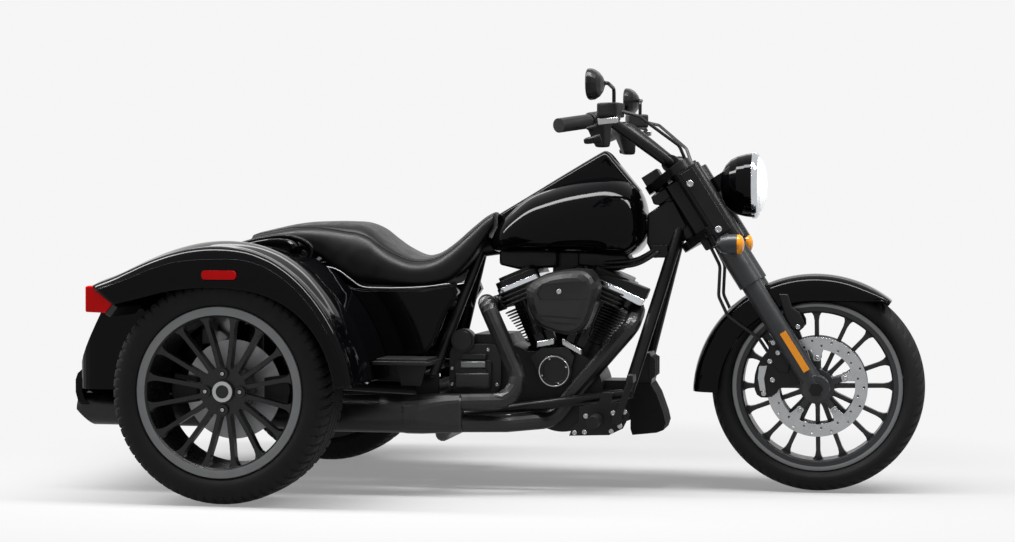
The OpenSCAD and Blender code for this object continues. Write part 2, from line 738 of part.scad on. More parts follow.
module trunk_door() {
    color("#0e0e10") difference() {
        side_plate(-door_half_w, door_half_w)
            polygon([slope_pt(17, 0), slope_pt(191, 0), slope_pt(191, door_t), slope_pt(17, door_t)]);
        both_sides() translate([hinge_at[0], door_half_w - 26, hinge_at[1]]) rotate([-90, 0, 0])
            cylinder(h = 40, r = 6 + run_gap);
    }
}

plate_bolts = 146;
bumper_line = [[-531, 366], [-545, 354], [-552, 334], [-552, 296], [-544, 268], [-527, 250],
               [-440, 241], [-440, 251],
               [-508, 261], [-524, 278], [-531, 300]];

module bumper() {
    color("#0f0f11") difference() {
        side_plate(-trunk_half_w + 50, trunk_half_w - 50) polygon(bumper_line);
        for (s = [-1, 1]) translate([-tail_reach - 1, s * plate_bolts / 2, 322]) rotate([0, 90, 0])
            cylinder(h = 18, r = 3.5);
        both_sides() translate([-600, muffler_y, muffler_z]) rotate([0, 90, 0]) cylinder(h = 200,
                r = tail_r + 6);
    }
}

// Angle round the rear axle, then reach beyond the tyre: crest, crease, outer lip
fender_line = [[141, 175, 133, 71], [134, 145, 105, 41], [127, 129, 87, 19], [119, 119, 75, 3],
               [110, 113, 66, -11],
               [100, 110, 58, -20], [89, 108, 55, -24], [78, 105, 61, -22], [72, 102, 61, -18], [67, 99,
                       61, -14],
               [56, 90, 55, -5], [45, 81, 49, 3], [34, 76, 45, 10], [23, 75, 47, 15], [12, 77, 51,
                       19], [3, 80, 55, 23]];

function axle_pt(a, r) = [r * cos(a), rear_tyre_r + r * sin(a)];

fender_out_y = half_track + rear_tyre_w / 2 + 16;
fender_in_y = trunk_half_w + fit_gap;

// Line across the fender: reach from the axle and place along Y, from the inner foot to the outer lip
function fender_cross(crest, crease, lip, t) =
    [[crest - 75 + t, -fender_in_y - t], [crest - 40 - t * 0.6, -fender_in_y - t],
     [crest - 15 - t, -fender_in_y - 14 - t * 0.4], [crest - 5 - t, -fender_in_y - 60],
     [crest - t, -fender_in_y - 130], [crest - 3 - t, -fender_out_y + 92],
     [crest - 12 - t * 0.9, -fender_out_y + 48 + t * 0.3],
     [(crest + crease) / 2 + 4 - t * 0.7, -fender_out_y + 18 + t * 0.7],
     [crease + 3 - t * 0.3, -fender_out_y + t], [crease - 8, -fender_out_y + 4 + t],
     [(crease + lip) / 2, -fender_out_y + 4 + t], [lip, -fender_out_y + 4 + t]];

function fender_ring(row, t) =
    [for (p = fender_cross(rear_tyre_r + row[1], rear_tyre_r + row[2], rear_tyre_r + row[3], t))
        [p[0] * cos(row[0]), p[1], rear_tyre_r + p[0] * sin(row[0])]];

module fender() {
    sheet_loft([for (r = fender_line) fender_ring(r, 0)], [for (r = fender_line) fender_ring(r, fender_t)]);
}

module fender_right() { color("#0c0c0e") fender(); }
module fender_left() { color("#0c0c0e") mirror([0, 1, 0]) fender(); }

module apron_panels() {
    rows = [for (r = fender_line) if (r[0] <= 72) r];
    n = len(rows);
    outer = concat([[112 + fit_gap, 720 + rear_lift]], [for (r = rows) axle_pt(r[0],
            rear_tyre_r + r[1] - 15)]);
    inner = concat([[112 + fit_gap, 712 + rear_lift]], [for (r = rows) axle_pt(r[0],
            rear_tyre_r + r[1] - 22)]);
    color("#0d0d0f") both_sides() side_plate(-trunk_half_w, -cover_out_y - 8)
        polygon(concat(outer, [for (i = [n : -1 : 0]) inner[i]]));
}

module tail_lamps() {
    a = fender_line[0][0];
    r = rear_tyre_r;
    color("#7c0f14") both_sides() side_plate(-fender_out_y + 14, -fender_in_y - 50)
        polygon([axle_pt(a, r + 165), [-425, r + 303], [-425, r + 227], [-346, r + 225],
                 axle_pt(a, r + 78)]);
}

module side_markers() {
    color("#8a1216") both_sides()
        side_plate(-fender_out_y - 4, -fender_out_y + 4) translate([12,
                rear_tyre_r + 337]) polygon(rect_pts(102, 26, 10));
}

// Rear running gear

module rear_axle() {
    flange = 452;
    color("#2a2b2d") translate([0, 0, rear_tyre_r]) {
        both_sides() rotate([90, 0, 0]) rotate_extrude($fn = 72)
            polygon([[0, 0], [100, 0], [100, 45], [axle_tube_r, 95], [axle_tube_r, flange - 14],
                     [62, flange - 14],
                     [62, flange], [rear_spindle_r, flange], [rear_spindle_r, half_track + 36], [0,
                             half_track + 36]]);
        both_sides() translate([-26, shock_y - 26, 0]) cube([52, 52, 50]);
    }
}

module rear_calipers() {
    flange = 452;
    disc_y = half_track + rear_hub_in - 18;
    color("#1a1b1d") both_sides() translate([0, -flange, rear_tyre_r]) rotate([90, 0, 0]) difference() {
        union() {
            cylinder(h = 10, r = 58);
            for (s = [0, 180]) rotate([0, 0, s]) {
                translate([40, -20, 0]) cube([130, 40, 10]);
                translate([150, -20, 0]) cube([20, 40, disc_y - flange]);
                translate([102, -46, disc_y - flange - 24]) linear_extrude(58) polygon([[0, 10],
                        [0, 82], [68, 92],
                                                                                       [78, 46], [68, 0]]);
            }
        }
        translate([0, 0, -1]) cylinder(h = 200, r = rear_spindle_r + 1);
        translate([0, 0, disc_y - flange - 4]) cylinder(h = 16, r = 150);
    }
}

module swingarm() {
    color("#222325") both_sides() difference() {
        union() {
            translate([sx(505), 0, 300]) rotate([-90, 0, 0]) cylinder(h = plate_y, r = 22);
            rod([sx(505), 120, 300], [52, 120, rear_tyre_r - 6], 20);
            translate([-46, 104, rear_tyre_r - 46]) cube([106, 32, 92]);
        }
        translate([0, 0, rear_tyre_r]) rotate([-90, 0, 0]) cylinder(h = 400, r = axle_tube_r + fit_gap);
    }
}

module shocks() {
    z0 = rear_tyre_r + 50;
    h = 546 - z0;
    color("#303134") both_sides() translate([-26, shock_y, z0]) {
        cylinder(h = h, r = 16);
        translate([0, 0, h * 0.08]) cylinder(h = h * 0.5, r = 30);
        for (i = [0 : 4]) translate([0, 0, h * (0.63 + i * 0.07)]) cylinder(h = h * 0.035, r = 28);
    }
}

module belt_drive() {
    color("#1b1b1c") side_plate(184, 206) difference() {
        hull() {
            translate([sx(590), 318]) circle(48);
            translate([0, rear_tyre_r]) circle(80);
        }
        difference() {
            hull() {
                translate([sx(590), 318]) circle(40);
                translate([0, rear_tyre_r]) circle(72);
            }
            translate([sx(590), 318]) circle(41);
            translate([0, rear_tyre_r]) circle(73);
        }
        translate([0, rear_tyre_r]) circle(axle_tube_r + fit_gap);
    }
}

// Front of the frame

module chin_cover() {
    color("#1a1b1d") translate([stretch, 0, 0]) side_plate(-78, 78)
        polygon([[1110, 304], [1122, 319], [1171, 322], [1190, 290], [1211, 231], [1217, 204],
                 [1210, 182], [1190, 174],
                 [1116, 166], [1110, 184]]);
}

module regulator() {
    color("#1d1e20") translate([stretch, 0, 0]) {
        side_plate(-62, 62)
            polygon([[1122, 319], [1171, 322], [1177, 352], [1176, 396], [1166, 416], [1140, 410]]);
        for (i = [0 : 6]) side_plate(-66 + 20 * i, -62 + 20 * i)
            polygon([[1165, 330], [1184, 345], [1184, 398], [1165, 410]]);
    }
}

module foot_controls() {
    y0 = rail_y + 38;
    peg = [1032, 228];
    color("#202123") both_sides() translate([stretch, 0, 0]) {
        side_plate(-y0 - 12, -y0)
            polygon([[945, 176], [954, 198], [974, 217], [976, 262], [1034, 276], [1044, 306],
                     [1078, 306], [1090, 280],
                     [1122, 277], [1127, 239], [1106, 200], [1065, 180]]);
        translate([peg[0], -y0 - 12, peg[1]]) rotate([90, 0, 0]) {
            cylinder(h = 30, r = 13);
            translate([0, 0, 30]) cylinder(h = 92, r = 19);
        }
        translate([1090, -y0 - 12, 226]) rotate([90, 0, 0]) cylinder(h = 14, r = 15);
        side_plate(-y0 - 26, -y0 - 14)
            polygon([[1080, 236], [1098, 222], [1180, 345], [1194, 420], [1196, 482], [1178, 482],
                     [1176, 420], [1164, 360]]);
        translate([1178, -y0 - 88, 420]) cube([18, 74, 62]);
    }
}

module passenger_boards() {
    color("#1e1f21") both_sides() {
        side_plate(-267, -255) polygon([[sx(440), 320], [sx(500), 320], [sx(520), 392], [sx(420), 392]]);
        translate([sx(385), -400, 392]) cube([sx(560) - sx(385), 145, 10]);
        translate([sx(395), -394, 402]) cube([sx(550) - sx(395), 130, 8]);
    }
}

// Fork and steering

module clamp_plate(low) {
    translate([0, 0, low]) linear_extrude(clamp_t) union() {
        translate([-fork_offset, 0]) circle(44);
        for (s = [-1, 1]) translate([0, s * fork_half_w]) circle(40);
        polygon([[-fork_offset - 20, -36], [-fork_offset - 20, 36], [-26, fork_half_w + 26],
                 [34, fork_half_w - 16], [34, -fork_half_w + 16], [-26, -fork_half_w - 26]]);
    }
}

module triple_clamps() {
    top = head_along + head_half + 6;
    low = head_along - head_half - 6 - clamp_t;
    color("#1c1d1f") on_fork() difference() {
        union() {
            translate([-fork_offset, 0, low]) cylinder(h = top + clamp_t - low, r = stem_r);
            clamp_plate(low);
            clamp_plate(top);
            translate([-fork_offset - 34, -45, top + clamp_t - 1]) cube([54, 90, 30]);
            for (s = [-1, 1]) {
                translate([bar_forward, s * 62, top + clamp_t - 4])
                    cylinder(h = bar_along + 6 - top - clamp_t + 4, r = 21);
                translate([bar_forward, s * 62, bar_along]) rotate([90, 0, 0]) cylinder(h = 46, r = 27,
                        center = true);
            }
        }
        for (s = [-1, 1]) translate([0, s * fork_half_w, low - 1])
            cylinder(h = 400, r = fork_tube_r + fit_gap);
        translate([bar_forward, 0, bar_along]) rotate([90, 0, 0])
            cylinder(h = 300, r = bar_r + fit_gap, center = true);
    }
}

module fork_legs() {
    top = head_along + head_half + 6 + clamp_t;
    color("#1a1b1d") on_fork() for (s = [-1, 1]) difference() {
        union() {
            translate([0, s * fork_half_w, 0]) {
                translate([0, 0, -20]) cylinder(h = shroud_low + 40, r = slider_r);
                translate([0, 0, shroud_low]) cylinder(h = shroud_top - shroud_low, r = shroud_r);
                translate([0, 0, shroud_low]) cylinder(h = top - shroud_low, r = fork_tube_r);
                rotate([90, 0, 0]) cylinder(h = 2 * slider_r - 4, r = 40, center = true);
            }
            translate([-20, s > 0 ? fork_lug_y : -fork_half_w, 290]) cube([40, fork_half_w - fork_lug_y,
                    44]);
        }
        rotate([90, 0, 0]) cylinder(h = 500, r = front_axle_r + fit_gap, center = true);
    }
}

module fork_covers() {
    low_clamp = head_along - head_half - 6 - clamp_t;
    top_clamp = head_along + head_half + 6;
    color("#151618") on_fork() for (s = [-1, 1]) difference() {
        union() {
            translate([cover_ahead, s * (fork_half_w + 6),
                       cover_low]) linear_extrude(top_clamp - 2 - cover_low)
                polygon(rect_pts(84, 80, 26));
            translate([cover_ahead, s * (fork_half_w + 45),
                       cover_low + 35]) linear_extrude(top_clamp - 45 - cover_low)
                polygon(rect_pts(44, 10, 3));
        }
        translate([0, s * fork_half_w, cover_low - 1]) cylinder(h = 400, r = fork_tube_r + fit_gap);
        translate([0, 0, low_clamp - 3]) linear_extrude(clamp_t + 6) union() {
            translate([0, s * fork_half_w]) circle(40 + 2);
            translate([-fork_offset - 30, -fork_half_w - 6]) square([fork_offset + 66,
                    2 * fork_half_w + 12]);
        }
    }
}

lamp_x = 1474;
lamp_z = 925;

// Places children at the middle of the headlamp's rim, Z ahead
module at_lamp() {
    translate([lamp_x + stretch, 0, lamp_z + front_tyre_r - 319]) rotate([0, 90, 0]) children();
}

module headlamp_shell() {
    r = headlamp_r;
    color("#0d0d0f") {
        at_lamp() rotate_extrude($fn = 96)
            polygon([[0, -98], [22, -97], [44, -92], [62, -82], [78, -67], [r - 13, -46], [r - 7, -22],
                     [r - 4, 0], [0, 0]]);
        difference() {
            on_fork() {
                translate([34 + fit_gap, -40, 556]) cube([14, 80, 159]);
                translate([34 + fit_gap, -30, 655]) cube([80, 60, 45]);
            }
            at_lamp() translate([0, 0, -20]) cylinder(h = 120, r = r + 6);
        }
    }
}

module headlamp_ring() {
    r = headlamp_r;
    color("#c4c6c9") at_lamp() rotate_extrude($fn = 96)
        polygon([[r - 12, 0], [r, 0], [r, 8], [r - 3, 14], [r - 9, 18], [r - 12, 18]]);
}

module headlamp_lens() {
    r = headlamp_r - 12 - fit_gap;
    color("#cfd6da") at_lamp() rotate_extrude($fn = 96)
        polygon([[0, 0], [r, 0], [r, 14], [r * 0.86, 26], [r * 0.66, 35], [r * 0.4, 41], [0, 44]]);
}

signal_y = fork_half_w + 6 + 40;

module at_signal() {
    p = fork_pt(496, 14);
    translate([p[0], -signal_y - 32, p[2]]) rotate([0, 90, 0]) children();
}

module turn_signals() {
    p = fork_pt(520, cover_ahead);
    color("#131416") both_sides() {
        at_signal() rotate_extrude()
            polygon([[0, -40], [12, -38], [24, -26], [30, -6], [31, 22], [0, 22]]);
        difference() {
            translate([p[0], -signal_y, p[2]]) rotate([90, 0, 0]) cylinder(h = 20, r = 9);
            at_signal() cylinder(h = 60, r = 20, center = true);
        }
    }
}

module signal_lenses() {
    color("#c86a12") both_sides() at_signal() rotate_extrude()
        polygon([[0, 22], [29, 22], [29, 30], [22, 38], [10, 42], [0, 43]]);
}

// Front fender: angle round its own centre
fender_half = 78;
fender_cx = -6;
fender_cz = -31;
fender_r = front_tyre_r + 46;
fork_lug_y = 79;
fender_edge_z = 289;
front_fender_line = [for (a = [52 : 9 : 178]) [a,
                                               min(84, max(14, fender_r - fender_edge_z / sin(min(a,
        90))))]];

function front_cross(depth, t) =
    let (r = fender_r, w = fender_half, a = min(30, depth * 0.6), b = min(15, depth * 0.3),
         c = min(5, depth * 0.1))
    [[r - depth, -w + t], [r - (depth + a) / 2, -w + t], [r - a, -w + t], [r - b - t * 0.4,
            -w + 6 + t * 0.8],
     [r - c - t * 0.8, -w + 22 + t * 0.4], [r - t, -w + 48], [r + 1 - t, 0],
     [r - t, w - 48], [r - c - t * 0.8, w - 22 - t * 0.4], [r - b - t * 0.4, w - 6 - t * 0.8],
     [r - a, w - t], [r - (depth + a) / 2, w - t], [r - depth, w - t]];

function front_fender_ring(row, t) =
    [for (p = front_cross(row[1], t))
        [wheelbase + fender_cx + p[0] * cos(row[0]), p[1], front_tyre_r + fender_cz + p[0] * sin(row[0])]];

module front_fender() {
    color("#0c0c0e") sheet_loft([for (r = front_fender_line) front_fender_ring(r, 0)],
                                [for (r = front_fender_line) front_fender_ring(r, fender_t)]);
}

// Angle round the front axle and reach from it
caliper_line = [[136, 128], [140, 176], [150, 186], [165, 188], [180, 186], [190, 176], [193, 140],
                [186, 112],
                [165, 104], [148, 108]];

module caliper_block(grow) {
    at_front_wheel() translate([0, 0, 38 - grow]) linear_extrude(62 + 2 * grow) offset(delta = grow)
        polygon(soften([for (p = caliper_line) p[1] * [cos(p[0]), sin(p[0])]]));
}

module front_calipers() {
    color("#17181a") both_sides() difference() {
        union() {
            at_front_wheel() translate([0, 0, 38]) linear_extrude(62)
                polygon(soften([for (p = caliper_line) p[1] * [cos(p[0]), sin(p[0])]]));
            at_front_wheel() translate([0, 0, 84]) linear_extrude(16)
                polygon([[-98, 132], [-132, 116], [-150, 40], [-120, -6], [-44, 12], [-30, 30]]);
        }
        at_front_wheel() translate([0, 0, front_hub_half - 3]) cylinder(h = disc_t + 6, r = disc_r + 5);
        on_fork(-60, 0, -fork_half_w) cylinder(h = 600, r = slider_r + fit_gap);
        on_fork(0, 0, -fork_half_w) rotate([90, 0, 0]) cylinder(h = 80, r = 40 + fit_gap, center = true);
    }
}

module front_axle() {
    half = fork_half_w + slider_r + 8;
    color("#2a2b2d") at_front_wheel() {
        cylinder(h = 2 * half, r = front_axle_r, center = true);
        for (s = [-1, 1]) translate([0, 0, s * (half + 2)]) cylinder(h = 10, r = 21, center = true,
                $fn = 6);
    }
}

bar_c = fork_pt(bar_along, bar_forward);
bar_corner = bar_c + [-168, 256, bar_rise + 16];
bar_end = bar_c + [-280, 440, bar_rise - 12];
grip_l = 128;
bar_dir = unit(bar_corner - bar_end);
grip_in = bar_end + bar_dir * grip_l;
control_c = grip_in + bar_dir * 27;

function flip(p) = [p[0], -p[1], p[2]];

module handlebar() {
    inner = bar_c + [0, 108, 0];
    color("#161719")
        bent_rod([bar_end, bar_corner, inner, flip(inner), flip(bar_corner), flip(bar_end)], bar_r, 46,
                 n = 20);
}

module grips() {
    color("#0f0f10") both_sides() difference() {
        rod(bar_end + unit(bar_end - bar_corner) * 6, grip_in, bar_r + 5);
        rod(bar_end, grip_in + unit(grip_in - bar_end) * 10, bar_r + fit_gap);
    }
}

module reservoir(grow) {
    translate(control_c + [50, 6, 29]) rotate([0, 0, 20])
        cube([66 + 2 * grow, 56 + 2 * grow, 44 + 2 * grow], center = true);
}

module hand_controls() {
    color("#18191b") both_sides() {
        difference() {
            union() {
                rod(control_c - bar_dir * 25, control_c + bar_dir * 25, bar_r + 10);
                reservoir(0);
                translate(control_c + [15, -4, -36]) rotate([0, 0, 28]) cube([60, 48, 62], center = true);
            }
            rod(bar_end, bar_corner, bar_r + fit_gap);
        }
        bent_rod([control_c + [52, -4, 10], control_c + [84, 34, 2], bar_end + [78, 4, -10]], 6.5, 22,
                 n = 10);
    }
}

mirror_c = bar_end + [102, -18, 118];

module mirrors() {
    foot = control_c + [60, 10, 51.1];
    color("#131416") both_sides() {
        bent_rod([foot, foot + [0, 0, 40], mirror_c + [32, -12, 4], mirror_c], 6, 14, ref = [0, 1, 0.2],
                 n = 10);
        translate(mirror_c) rotate([0, 90, 0]) rotate([0, 0, 90])
            loft([for (r = [[-22, 0.94], [-18, 1], [-6, 0.96], [8, 0.78], [18, 0.5], [24, 0.2]])
                [for (i = [0 : 19]) [76 * r[1] * power(cos(18 * i), 0.8), 46 * r[1] * power(sin(18 * i),
                        0.8), r[0]]]]);
    }
}

module fork_reflectors() {
    color("#c9741a") on_fork() for (s = [-1, 1])
        translate([6, s * (fork_half_w + slider_r + 2.2 + fit_gap), 127]) cube([20, 4.4, 134],
                center = true);
}

module brake_hoses() {
    color("#111112") both_sides() {
        difference() {
            bent_rod([fork_pt(549, -44, -84), fork_pt(460, -52, -92), fork_pt(385, -104, -92),
                      fork_pt(320, -112, -92),
                      fork_pt(215, -68, -92), fork_pt(130, -66, -88)], 5, [40, 40, 40, 60,
                              40], ref = [0, 1, 0], n = 8);
            caliper_block(fit_gap);
        }
        difference() {
            bent_rod([control_c + [70, 16, 28], control_c + [126, -30, 14], fork_pt(830, 36, 110),
                      fork_pt(776, 26, 86)],
                     5, 30, n = 8);
            reservoir(fit_gap);
            on_fork(0, -100, -200) cube([300, 400, head_along + head_half + 6 + clamp_t + fit_gap]);
        }
    }
}

centred() frame();
centred() crankcase();
centred() cylinders();
centred() cylinder_heads();
centred() rocker_spacers();
centred() rocker_covers();
centred() pushrod_tubes();
centred() air_cleaner();
centred() timing_cover();
centred() transmission_cover();
centred() primary_cover();
centred() exhaust();
centred() fuel_tank();
centred() tank_console();
centred() seat();
centred() side_covers();
centred() trunk();
centred() apron_panels();
centred() fender_right();
centred() fender_left();
centred() tail_lamps();
centred() side_markers();
centred() bumper();
centred() rear_axle();
centred() rear_calipers();
centred() swingarm();
centred() shocks();
centred() belt_drive();
centred() chin_cover();
centred() regulator();
centred() foot_controls();
centred() passenger_boards();
centred() trunk_door();
centred() triple_clamps();
centred() fork_legs();
centred() fork_covers();
centred() headlamp_shell();
centred() headlamp_ring();
centred() headlamp_lens();
centred() turn_signals();
centred() signal_lenses();
centred() front_fender();
centred() front_calipers();
centred() front_axle();
centred() handlebar();
centred() grips();
centred() hand_controls();
centred() mirrors();
centred() fork_reflectors();
centred() brake_hoses();
centred() front_tyre();
centred() front_wheel();
centred() front_discs();
centred() rear_tyre_right();
centred() rear_wheel_right();
centred() rear_disc_right();
centred() rear_tyre_left();
centred() rear_wheel_left();
centred() rear_disc_left();
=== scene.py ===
import math

import bpy
import numpy as np
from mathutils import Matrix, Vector


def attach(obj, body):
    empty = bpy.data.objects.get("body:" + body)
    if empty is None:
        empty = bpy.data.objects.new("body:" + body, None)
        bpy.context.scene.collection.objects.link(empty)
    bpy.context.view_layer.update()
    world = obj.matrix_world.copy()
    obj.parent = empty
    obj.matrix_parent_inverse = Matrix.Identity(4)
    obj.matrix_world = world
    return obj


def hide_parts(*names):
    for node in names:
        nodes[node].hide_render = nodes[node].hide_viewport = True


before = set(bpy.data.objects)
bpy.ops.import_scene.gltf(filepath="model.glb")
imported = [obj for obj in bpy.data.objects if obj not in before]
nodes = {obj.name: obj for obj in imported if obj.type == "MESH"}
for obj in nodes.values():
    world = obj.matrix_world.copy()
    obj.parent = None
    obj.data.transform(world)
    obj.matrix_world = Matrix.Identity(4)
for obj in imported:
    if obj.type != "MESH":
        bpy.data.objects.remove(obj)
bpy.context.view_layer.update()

# Lengths in the tables are millimetres from the rear axle and the ground, as in the part's source.
MM = 0.001
X_MID = 718.5
WHEELBASE = 1670
FRONT_R = 319
REAR_R = 325
HALF_TRACK = 570
RAKE = math.radians(32)
SIDES = (("right", -1), ("left", 1))


def row(x, y, z):
    """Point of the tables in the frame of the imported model, in metres."""
    return Vector(((x - X_MID) * MM, y * MM, z * MM))


# Camera, from the vanishing lines and wheel ellipses of the picture
CAM_AT = row(1869.4, -6155.2, 796.9)
CAM_AZIMUTH = math.radians(10.623)
CAM_PITCH = math.radians(1.238)
CAM_LENS = 71.41
CAM_SENSOR = 36

camera = bpy.data.objects.new("camera", bpy.data.cameras.new("camera"))
bpy.context.scene.collection.objects.link(camera)
back = Vector((math.sin(CAM_AZIMUTH) * math.cos(CAM_PITCH),
               -math.cos(CAM_AZIMUTH) * math.cos(CAM_PITCH), math.sin(CAM_PITCH)))
camera.location = CAM_AT
camera.rotation_mode = "QUATERNION"
camera.rotation_quaternion = (-back).to_track_quat("-Z", "Y")
camera.data.lens = CAM_LENS
camera.data.sensor_width = CAM_SENSOR
bpy.context.scene.camera = camera

# Materials

DRIFT_SCALE = 30


class Nodes:
    """Short way to write a node tree."""

    def __init__(self, tree):
        self.tree = tree

    def add(self, kind, **values):
        node = self.tree.nodes.new(kind)
        for key, value in values.items():
            if key in node.inputs:
                self.put(value, node.inputs[key])
            else:
                setattr(node, key, value)
        return node

    def put(self, value, socket):
        if isinstance(value, bpy.types.NodeSocket):
            self.tree.links.new(value, socket)
        else:
            socket.default_value = value


def tint(hex_colour):
    """Linear colour from a written hex colour."""
    parts = [int(hex_colour[i:i + 2], 16) / 255 for i in (1, 3, 5)]
    return [p / 12.92 if p <= 0.04045 else ((p + 0.055) / 1.055) ** 2.4 for p in parts] + [1]


def finish(name, dark, light, rough, metal=0.0, specular=0.5, spread=0.06, grain=900, bump=0.05,
           depth=0.0004, edge=0.0):
    """Two close tones and a roughness that drift over the surface, fine grain, softened edges."""
    mat = bpy.data.materials.new(name)
    mat.use_nodes = True
    n = Nodes(mat.node_tree)
    shader = mat.node_tree.nodes["Principled BSDF"]
    place = n.add("ShaderNodeTexCoord").outputs["Object"]
    drift = n.add("ShaderNodeTexNoise", Vector=place, Scale=DRIFT_SCALE, Detail=4.0).outputs["Fac"]
    fine = n.add("ShaderNodeTexNoise", Vector=place, Scale=grain, Detail=3.0).outputs["Fac"]
    colour = n.add("ShaderNodeMix", data_type="RGBA")
    n.put(drift, colour.inputs["Factor"])
    n.put(tint(dark), colour.inputs["A"])
    n.put(tint(light), colour.inputs["B"])
    n.put(colour.outputs["Result"], shader.inputs["Base Color"])
    wear = n.add("ShaderNodeMapRange", Value=drift)
    wear.inputs["From Min"].default_value = 0.3
    wear.inputs["From Max"].default_value = 0.7
    wear.inputs["To Min"].default_value = max(0.02, rough - spread)
    wear.inputs["To Max"].default_value = min(1.0, rough + spread)
    n.put(wear.outputs["Result"], shader.inputs["Roughness"])
    relief = n.add("ShaderNodeBump", Height=fine, Strength=bump, Distance=depth)
    if edge:
        soft = n.add("ShaderNodeBevel", samples=4, Radius=edge)
        n.put(soft.outputs["Normal"], relief.inputs["Normal"])
    n.put(relief.outputs["Normal"], shader.inputs["Normal"])
    shader.inputs["Metallic"].default_value = metal
    shader.inputs["Specular IOR Level"].default_value = specular
    return mat


paint = finish("gloss_black_paint", "#020203", "#030304", 0.06, specular=0.085, spread=0.02,
               grain=260, bump=0.02, edge=0.003)
satin = finish("satin_black_coat", "#060607", "#0a0a0b", 0.34, specular=0.16, grain=1400, bump=0.1,
               edge=0.002)
pipe = finish("pipe_satin", "#0a0a0b", "#0f0f10", 0.36, specular=0.3, grain=1400, bump=0.03)
matt = finish("matt_black_cover", "#060607", "#0a0a0b", 0.75, specular=0.1, grain=1200, bump=0.15,
              edge=0.002)
cast = finish("black_cast_metal", "#070709", "#0c0d0e", 0.44, specular=0.18, grain=1100, bump=0.22,
              edge=0.002)
grey_cast = finish("dark_grey_cast", "#0c0d0e", "#131416", 0.38, specular=0.22, grain=1100,
                   bump=0.18, edge=0.002)
wheel_paint = finish("wheel_satin", "#121213", "#191a1b", 0.3, specular=0.25, grain=1500, bump=0.08,
                     edge=0.0025)
# Light grey metal of the rim lips and gearbox plate; on the seat beads the same grey is a painted
# highlight
grey_lip_and_highlight = finish("machined_lip_and_painted_highlight", "#5c5d5e", "#6a6b6c", 0.34, metal=0.7, spread=0.05, grain=1800,
             bump=0.08)
chrome = finish("chrome", "#b9bcc0", "#c9ccd0", 0.1, metal=1.0, spread=0.03, bump=0.02, edge=0.0015)
steel = finish("brushed_steel", "#8f9193", "#a6a8aa", 0.3, metal=1.0, spread=0.08, grain=2200,
               bump=0.12, edge=0.001)
dark_steel = finish("dark_steel", "#77787a", "#868789", 0.36, metal=1.0, spread=0.08, grain=2200,
                    bump=0.12, edge=0.001)
rubber = finish("tyre_rubber", "#070708", "#0d0d0e", 0.7, specular=0.16, grain=700, bump=0.2)
hose_rubber = finish("hose_rubber", "#070708", "#0c0c0d", 0.5, specular=0.3, grain=1500, bump=0.2)
leather = finish("seat_vinyl", "#030304", "#060607", 0.4, specular=0.14, grain=620, bump=0.3,
                 depth=0.0006)
amber = finish("amber_lens", "#ad6a0c", "#bd7814", 0.16, specular=0.25, spread=0.03, bump=0.05,
               edge=0.001)
red = finish("red_lens", "#a00002", "#b80003", 0.14, specular=0.08, spread=0.03, bump=0.05,
             edge=0.001)
soft_grey = finish("soft_grey_coat", "#17181a", "#202123", 0.36, specular=0.3, grain=1400, bump=0.1,
                   edge=0.002)
glass = finish("clear_lens", "#e6ebee", "#f2f5f6", 0.04, specular=0.5, spread=0.01, bump=0.01)

LOOKS = {
    paint: ["fuel_tank", "fender_right", "fender_left", "front_fender", "headlamp_shell", "trunk",
            "trunk_door", "side_covers", "apron_panels", "bumper", "tank_console"],
    pipe: ["exhaust", "air_cleaner"],
    satin: ["frame", "fork_covers", "triple_clamps", "swingarm", "handlebar", "mirrors",
            "rocker_covers", "front_axle", "pushrod_tubes"],
    matt: ["chin_cover"],
    soft_grey: ["fork_legs", "turn_signals", "front_wheel"],
    cast: ["crankcase", "cylinders", "cylinder_heads", "primary_cover", "rear_calipers",
           "front_calipers", "regulator", "foot_controls", "hand_controls", "rear_axle", "shocks"],
    grey_cast: ["timing_cover", "transmission_cover", "passenger_boards"],
    wheel_paint: ["rear_wheel_right", "rear_wheel_left"],
    chrome: ["rocker_spacers", "headlamp_ring"],
    steel: ["front_discs"],
    dark_steel: ["rear_disc_right", "rear_disc_left"],
    rubber: ["front_tyre", "rear_tyre_right", "rear_tyre_left"],
    hose_rubber: ["brake_hoses", "belt_drive", "grips"],
    leather: ["seat"],
    amber: ["signal_lenses", "fork_reflectors"],
    red: ["tail_lamps", "side_markers"],
    glass: ["headlamp_lens"],
}
NODE_CREASE = math.radians(32)
for mat, names in LOOKS.items():
    for name in names:
        nodes[name].data.materials.clear()
        nodes[name].data.materials.append(mat)
        nodes[name].data.polygons.foreach_set("use_smooth", [True] * len(nodes[name].data.polygons))
        nodes[name].data.set_sharp_from_angle(angle=NODE_CREASE)


def round_edges(obj, width, steps):
    """Bevel on the edges of an object, its width in millimetres."""
    soft = obj.modifiers.new("edge", "BEVEL")
    soft.width = width * MM
    soft.segments = steps
    return soft


ROUNDED = (("fork_covers", 4), ("passenger_boards", 2), ("triple_clamps", 3), ("bumper", 4))
for name, width in ROUNDED:
    soft = round_edges(nodes[name], width, 3)
    soft.limit_method = "ANGLE"
    soft.angle_limit = math.radians(50)

# Forms


def spline(rows, times):
    """Rows of numbers, with smooth steps put between them."""
    p = np.array(rows, float)
    p = np.vstack([2 * p[0] - p[1], p, 2 * p[-1] - p[-2]])
    out = []
    for i in range(1, len(p) - 2):
        a, b, c, d = p[i - 1:i + 3]
        for k in range(times):
            t = k / times
            square, cube = 2 * a - 5 * b + 4 * c - d, 3 * b - a - 3 * c + d
            out.append(0.5 * (2 * b + (c - a) * t + square * t * t + cube * t ** 3))
    out.append(p[-2])
    return np.array(out)


